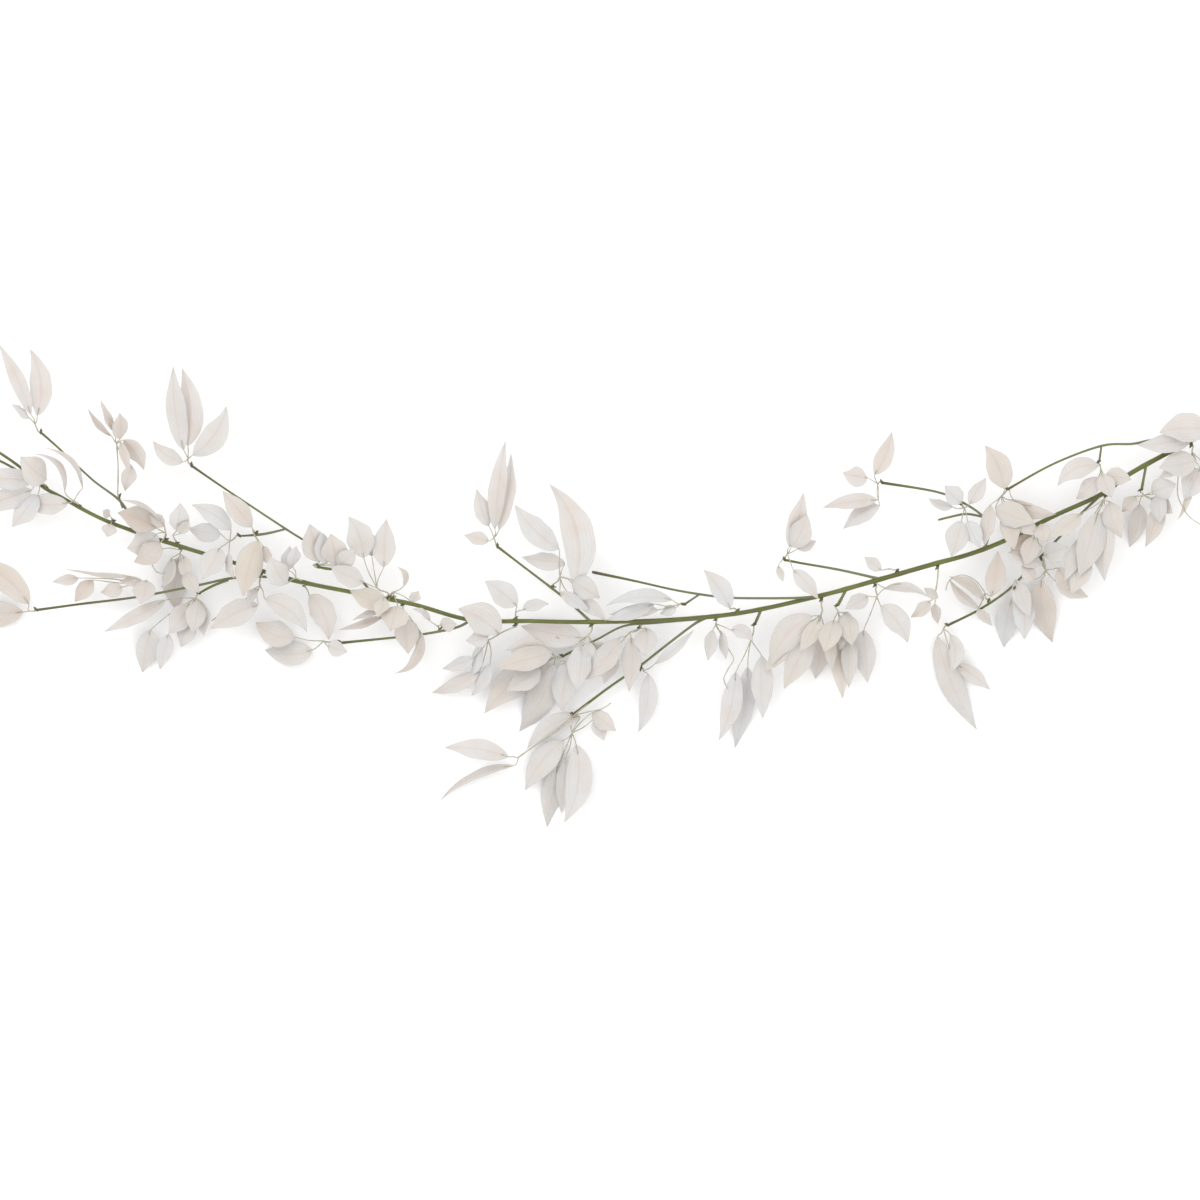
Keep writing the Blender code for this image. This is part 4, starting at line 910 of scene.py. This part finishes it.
def span(tree, value, low, high, start, end):
    """A value carried from low..high to start..end, and held beyond them."""
    node = tree.nodes.new("ShaderNodeMapRange")
    tree.links.new(value, node.inputs["Value"])
    for name, number_value in (("From Min", low), ("From Max", high), ("To Min", start), ("To Max", end)):
        node.inputs[name].default_value = number_value
    return node.outputs["Result"]


def blend(tree, factor, first, second):
    """Two colours mixed; each is a colour or a socket."""
    node = tree.nodes.new("ShaderNodeMix")
    node.data_type = "RGBA"
    tree.links.new(factor, node.inputs["Factor"])
    for key, value in ((6, first), (7, second)):
        if isinstance(value, tuple):
            node.inputs[key].default_value = (*value, 1.0)
        else:
            tree.links.new(value, node.inputs[key])
    return node.outputs[2]


def ramp(tree, value, stops):
    node = tree.nodes.new("ShaderNodeValToRGB")
    tree.links.new(value, node.inputs["Fac"])
    elements = node.color_ramp.elements
    while len(elements) < len(stops):
        elements.new(0.5)
    for element, (place_at, colour) in zip(elements, stops):
        element.position = place_at
        element.color = (*colour, 1.0)
    return node.outputs["Color"]


def noise(tree, vector, scale, detail):
    node = tree.nodes.new("ShaderNodeTexNoise")
    tree.links.new(vector, node.inputs["Vector"])
    node.inputs["Scale"].default_value = scale
    node.inputs["Detail"].default_value = detail
    return node.outputs["Fac"]


def attribute(tree, name):
    node = tree.nodes.new("ShaderNodeAttribute")
    node.attribute_name = name
    return node.outputs["Fac"]


def surface_inputs(tree):
    """Object coordinates, and the two shares of the piece's own map."""
    where = tree.nodes.new("ShaderNodeTexCoord").outputs["Object"]
    chart = tree.nodes.new("ShaderNodeUVMap")
    chart.uv_map = "UVMap"
    parts = tree.nodes.new("ShaderNodeSeparateXYZ")
    tree.links.new(chart.outputs["UV"], parts.inputs[0])
    return where, parts.outputs["X"], parts.outputs["Y"]


def bump(tree, shader, height, strength, distance):
    node = tree.nodes.new("ShaderNodeBump")
    node.inputs["Strength"].default_value = strength
    node.inputs["Distance"].default_value = distance
    tree.links.new(height, node.inputs["Height"])
    tree.links.new(node.outputs["Normal"], shader.inputs["Normal"])


def leaf_material():
    """Bleached, papery leaf: blush to cream to cool grey, fine parallel veins, darker margin and point."""
    made, tree, shader = material("pale_leaf", 0.72, 0.3)
    where, across, along = surface_inputs(tree)
    patches = span(tree, noise(tree, where, 32.0, 2.0), 0.3, 0.7, -0.5 * PATCHES, 0.5 * PATCHES)
    body = ramp(tree, number(tree, "ADD", attribute(tree, "tone"), patches, clamp=True), LEAF_TONES)
    mottle = noise(tree, where, 70.0, 4.0)
    body = blend(tree, span(tree, mottle, 0.35, 0.7, 0.0, 0.35), body, LEAF_SHADE)
    wander = number(tree, "MULTIPLY", noise(tree, where, 120.0, 2.0), 1.6)
    beat = number(tree, "ADD", number(tree, "MULTIPLY", across, TURN * VEINS), wander)
    vein = span(tree, number(tree, "SINE", beat), 0.1, 1.0, 0.0, 1.0)
    body = blend(tree, number(tree, "MULTIPLY", vein, 0.16), body, VEIN_COLOUR)
    edge = number(tree, "ABSOLUTE", number(tree, "SUBTRACT", number(tree, "MULTIPLY", across, 2.0), 1.0))
    rib = span(tree, edge, 0.0, 0.09, 0.35, 0.0)
    body = blend(tree, rib, body, VEIN_COLOUR)
    margin = span(tree, edge, MARGIN_FROM, 1.0, 0.0, 0.35)
    body = blend(tree, margin, body, MARGIN_COLOUR)
    neck = span(tree, along, 0.0, 0.14, 0.45, 0.0)
    point = span(tree, along, 0.88, 1.0, 0.0, 0.6)
    ends = number(tree, "ADD", neck, point)
    body = blend(tree, ends, body, MARGIN_COLOUR)
    age = attribute(tree, "age")
    worn = number(tree, "MULTIPLY", age, span(tree, noise(tree, where, 45.0, 3.0), 0.3, 0.6, 0.55, 1.0))
    body = blend(tree, worn, body, BROWN_COLOUR)
    tree.links.new(body, shader.inputs["Base Color"])
    shader.inputs["Subsurface Weight"].default_value = 0.2
    shader.inputs["Subsurface Radius"].default_value = (1.0, 0.62, 0.48)
    shader.inputs["Subsurface Scale"].default_value = 0.002
    relief = number(tree, "ADD", number(tree, "MULTIPLY", vein, 0.7), noise(tree, where, 900.0, 3.0))
    bump(tree, shader, relief, 0.35, 0.0004)
    return made


def stalk_material():
    """Thin dry stalks, grey-cream and a little darker in patches."""
    made, tree, shader = material("pale_stalk", 0.65, 0.3)
    where, across, _ = surface_inputs(tree)
    patches = noise(tree, where, 160.0, 3.0)
    body = ramp(tree, span(tree, patches, 0.35, 0.65, 0.0, 1.0), STALK_TONES)
    worn = number(tree, "MULTIPLY", attribute(tree, "age"), 0.8)
    body = blend(tree, worn, body, BROWN_COLOUR)
    tree.links.new(body, shader.inputs["Base Color"])
    relief = number(tree, "ADD", number(tree, "SINE", number(tree, "MULTIPLY", across, 25.0)), patches)
    bump(tree, shader, relief, 0.3, 0.0002)
    return made


def bark_material():
    """Green bark, olive on the main stem, greyer on the shoots and brown where they end, with fine dark
    stripes and painted shade darkening the flanks of each stem.
    """
    made, tree, shader = material("green_bark", 0.42, 0.5)
    where, across, _ = surface_inputs(tree)
    body = ramp(tree, attribute(tree, "age"), BARK_TONES)
    patches = noise(tree, where, 38.0, 4.0)
    body = blend(tree, span(tree, patches, 0.45, 0.75, 0.0, 0.45), body, BARK_LIGHT)
    specks = noise(tree, where, 420.0, 2.0)
    body = blend(tree, span(tree, specks, 0.62, 0.78, 0.0, 0.4), body, BARK_BROWN)
    # Painted shade: the colour is darkened along both flanks of each stem and shoot, where the round stem
    # turns away from the light
    painted_flank_shade = number(tree, "ABSOLUTE", number(tree, "SINE", number(tree, "MULTIPLY", across, TURN)))
    body = blend(tree, span(tree, painted_flank_shade, 0.3, 1.0, 0.3, 0.0), body, BARK_STRIPES_AND_SHADE)
    lines = number(tree, "SINE", number(tree, "MULTIPLY", across, TURN * 14.0))
    body = blend(tree, span(tree, lines, 0.2, 1.0, 0.0, 0.22), body, BARK_STRIPES_AND_SHADE)
    tree.links.new(body, shader.inputs["Base Color"])
    relief = number(tree, "ADD", number(tree, "MULTIPLY", lines, 0.5), noise(tree, where, 700.0, 3.0))
    bump(tree, shader, relief, 0.3, 0.0003)
    return made


def floor_material():
    """Matt, nearly white floor."""
    made, tree, shader = material("pale_floor", 0.9, 0.1)
    where = tree.nodes.new("ShaderNodeTexCoord").outputs["Object"]
    grain = noise(tree, where, 3.0, 2.0)
    body = blend(tree, grain, FLOOR_TONE, FLOOR_TONE_TWO)
    tree.links.new(body, shader.inputs["Base Color"])
    return made


# Everything in its place

def dress():
    """Every piece: the stem first, then each spray on the line that its solid follows."""
    bark, leafy, stalky = bark_material(), leaf_material(), stalk_material()
    axes = [smooth_run(MAIN_STEM, STEM_STEP)]
    axes += [smooth_run(points, SHOOT_STEP) for points in SHOOTS.values()]
    placed = [("green_stem", tree_of(tube("stem run", run, SIX_SIDES))) for run in axes]
    stalks = {}
    for name, root, hub_plan, _ in SPRAYS:
        stalks[name] = root_run(root, hub_plan, axes)
        placed.append((name, tree_of(tube(name, stalk_run(stalks[name]), FOUR_SIDES))))

    runs = [(MAIN_STEM, MAIN_AGES)] + [(points, SHOOT_AGES) for points in SHOOTS.values()]
    roots = [line[0] for line in stalks.values()] + [place(*points[0][:3]) for points in SHOOTS.values()]
    built = fine_stem(runs, roots)
    for name, line in stalks.items():
        away = (line[1] - line[0]).normalized()
        along = away.cross(Vector((0, 0, 1)))
        if along.length > LEVEL_ENOUGH:
            bract(built, line[0], along.normalized(), away, f"bract {name}")
    piece = finished(built, "green_stem_bark", (bark, stalky))
    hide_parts("green_stem")
    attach(piece, "root")

    curls = {}
    for name, points in CURLS:
        curls.setdefault(name, []).append(points)
    for name, root, hub_plan, leaves in SPRAYS:
        line = stalks[name]
        hub = line[2]
        others = [tree for owner, tree in placed if owner != name]
        sisters = []
        built = bmesh.new()
        look = random.Random(f"tone {name}")
        warm = WARMTH.get(name, USUAL_WARMTH)
        for index, leaf in enumerate(leaves):
            key = f"{name} {index}"
            foot = (name, index) in FEET
            steps = (foot_bend(leaf, hub, key),) if foot else BEND_STEPS
            shift = clear_bend(leaf, hub, key, steps, others, sisters, foot)
            if shift is None:
                shift = clear_bend(leaf, hub, key, steps, others, [], foot)
            placed.append((name, tree_of(blade_mesh(leaf, hub, shift, 0.0, key))))
            sisters.append(tree_of(blade_mesh(leaf, hub, shift, 0.0, key, outer=True)))
            tone = min(1.0, max(0.0, warm + look.uniform(-TONE_SPREAD, TONE_SPREAD)))
            brown = BROWN_LEAVES.get(name, USUAL_BROWN) * look.uniform(*BROWN_SPREAD)
            fine_blade(built, leaf, hub, shift, key, tone, brown)
        sunk = line[0] - (line[1] - line[0]).normalized() * ROOT_SUNK * MM
        way = curly([sunk, line[1], hub], look)
        stalk = [(p, STALK_RADIUS * STALK_SLIM * MM) for p in way]
        sweep(built, stalk, STALK_SIDES, 1, STALK_AGES)
        for points in curls.get(name, ()):
            loop = spaced([place(*p) for p in points], STALK_STEP * MM)
            sweep(built, [(p, CURL_RADIUS * MM) for p in loop], STALK_SIDES, 1, CURL_AGES)
        piece = finished(built, f"leaves_{name}", (leafy, stalky))
        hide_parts(f"spray_{name}")
        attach(piece, "root")


def curly(points, look):
    """A stalk's line with the small waves of a dried stalk, held at its two ends."""
    way = spaced(points, STALK_STEP * MM)
    turns = look.uniform(*STALK_TURNS)
    start = look.uniform(0.0, TURN)
    out = []
    for k, point in enumerate(way):
        share = k / (len(way) - 1)
        swing = STALK_CURL * MM * math.sin(math.pi * share) * math.sin(TURN * turns * share + start)
        run = (points[-1] - points[0]).normalized()
        out.append(point + Vector((-run.y, run.x, 0.0)) * swing)
    return out


def set_stage():
    """The floor, the lights, the bright room and the camera straight above."""
    bpy.ops.mesh.primitive_plane_add(size=FLOOR_SIZE, location=(0.0, 0.0, -FLOOR_DROP))
    floor = bpy.context.object
    floor.name = "floor"
    floor.data.materials.append(floor_material())
    for name, place_at, power, size in LIGHTS:
        lamp = bpy.data.lights.new(name, "AREA")
        lamp.energy = power
        lamp.size = size
        held = new_object(name, lamp)
        held.location = place_at
        held.rotation_euler = (-Vector(place_at)).to_track_quat("-Z", "Y").to_euler()
    world = bpy.data.worlds.new("studio")
    world.use_nodes = True
    sky = world.node_tree.nodes["Background"].inputs
    sky["Color"].default_value = (*SKY, 1.0)
    sky["Strength"].default_value = SKY_STRENGTH
    bpy.context.scene.world = world
    bpy.context.scene.view_settings.view_transform = "Standard"
    lens = bpy.data.cameras.new("camera")
    lens.sensor_width = SENSOR
    lens.lens = SENSOR * VIEW_DISTANCE / VIEW_WIDTH
    lens.clip_end = 10.0 * VIEW_DISTANCE
    eye = new_object("camera", lens)
    centre = place(*VIEW_CENTRE, VIEW_HEIGHT)
    eye.location = (centre.x, centre.y, centre.z + VIEW_DISTANCE)
    bpy.context.scene.camera = eye


set_stage()
dress()
bpy.context.view_layer.update()
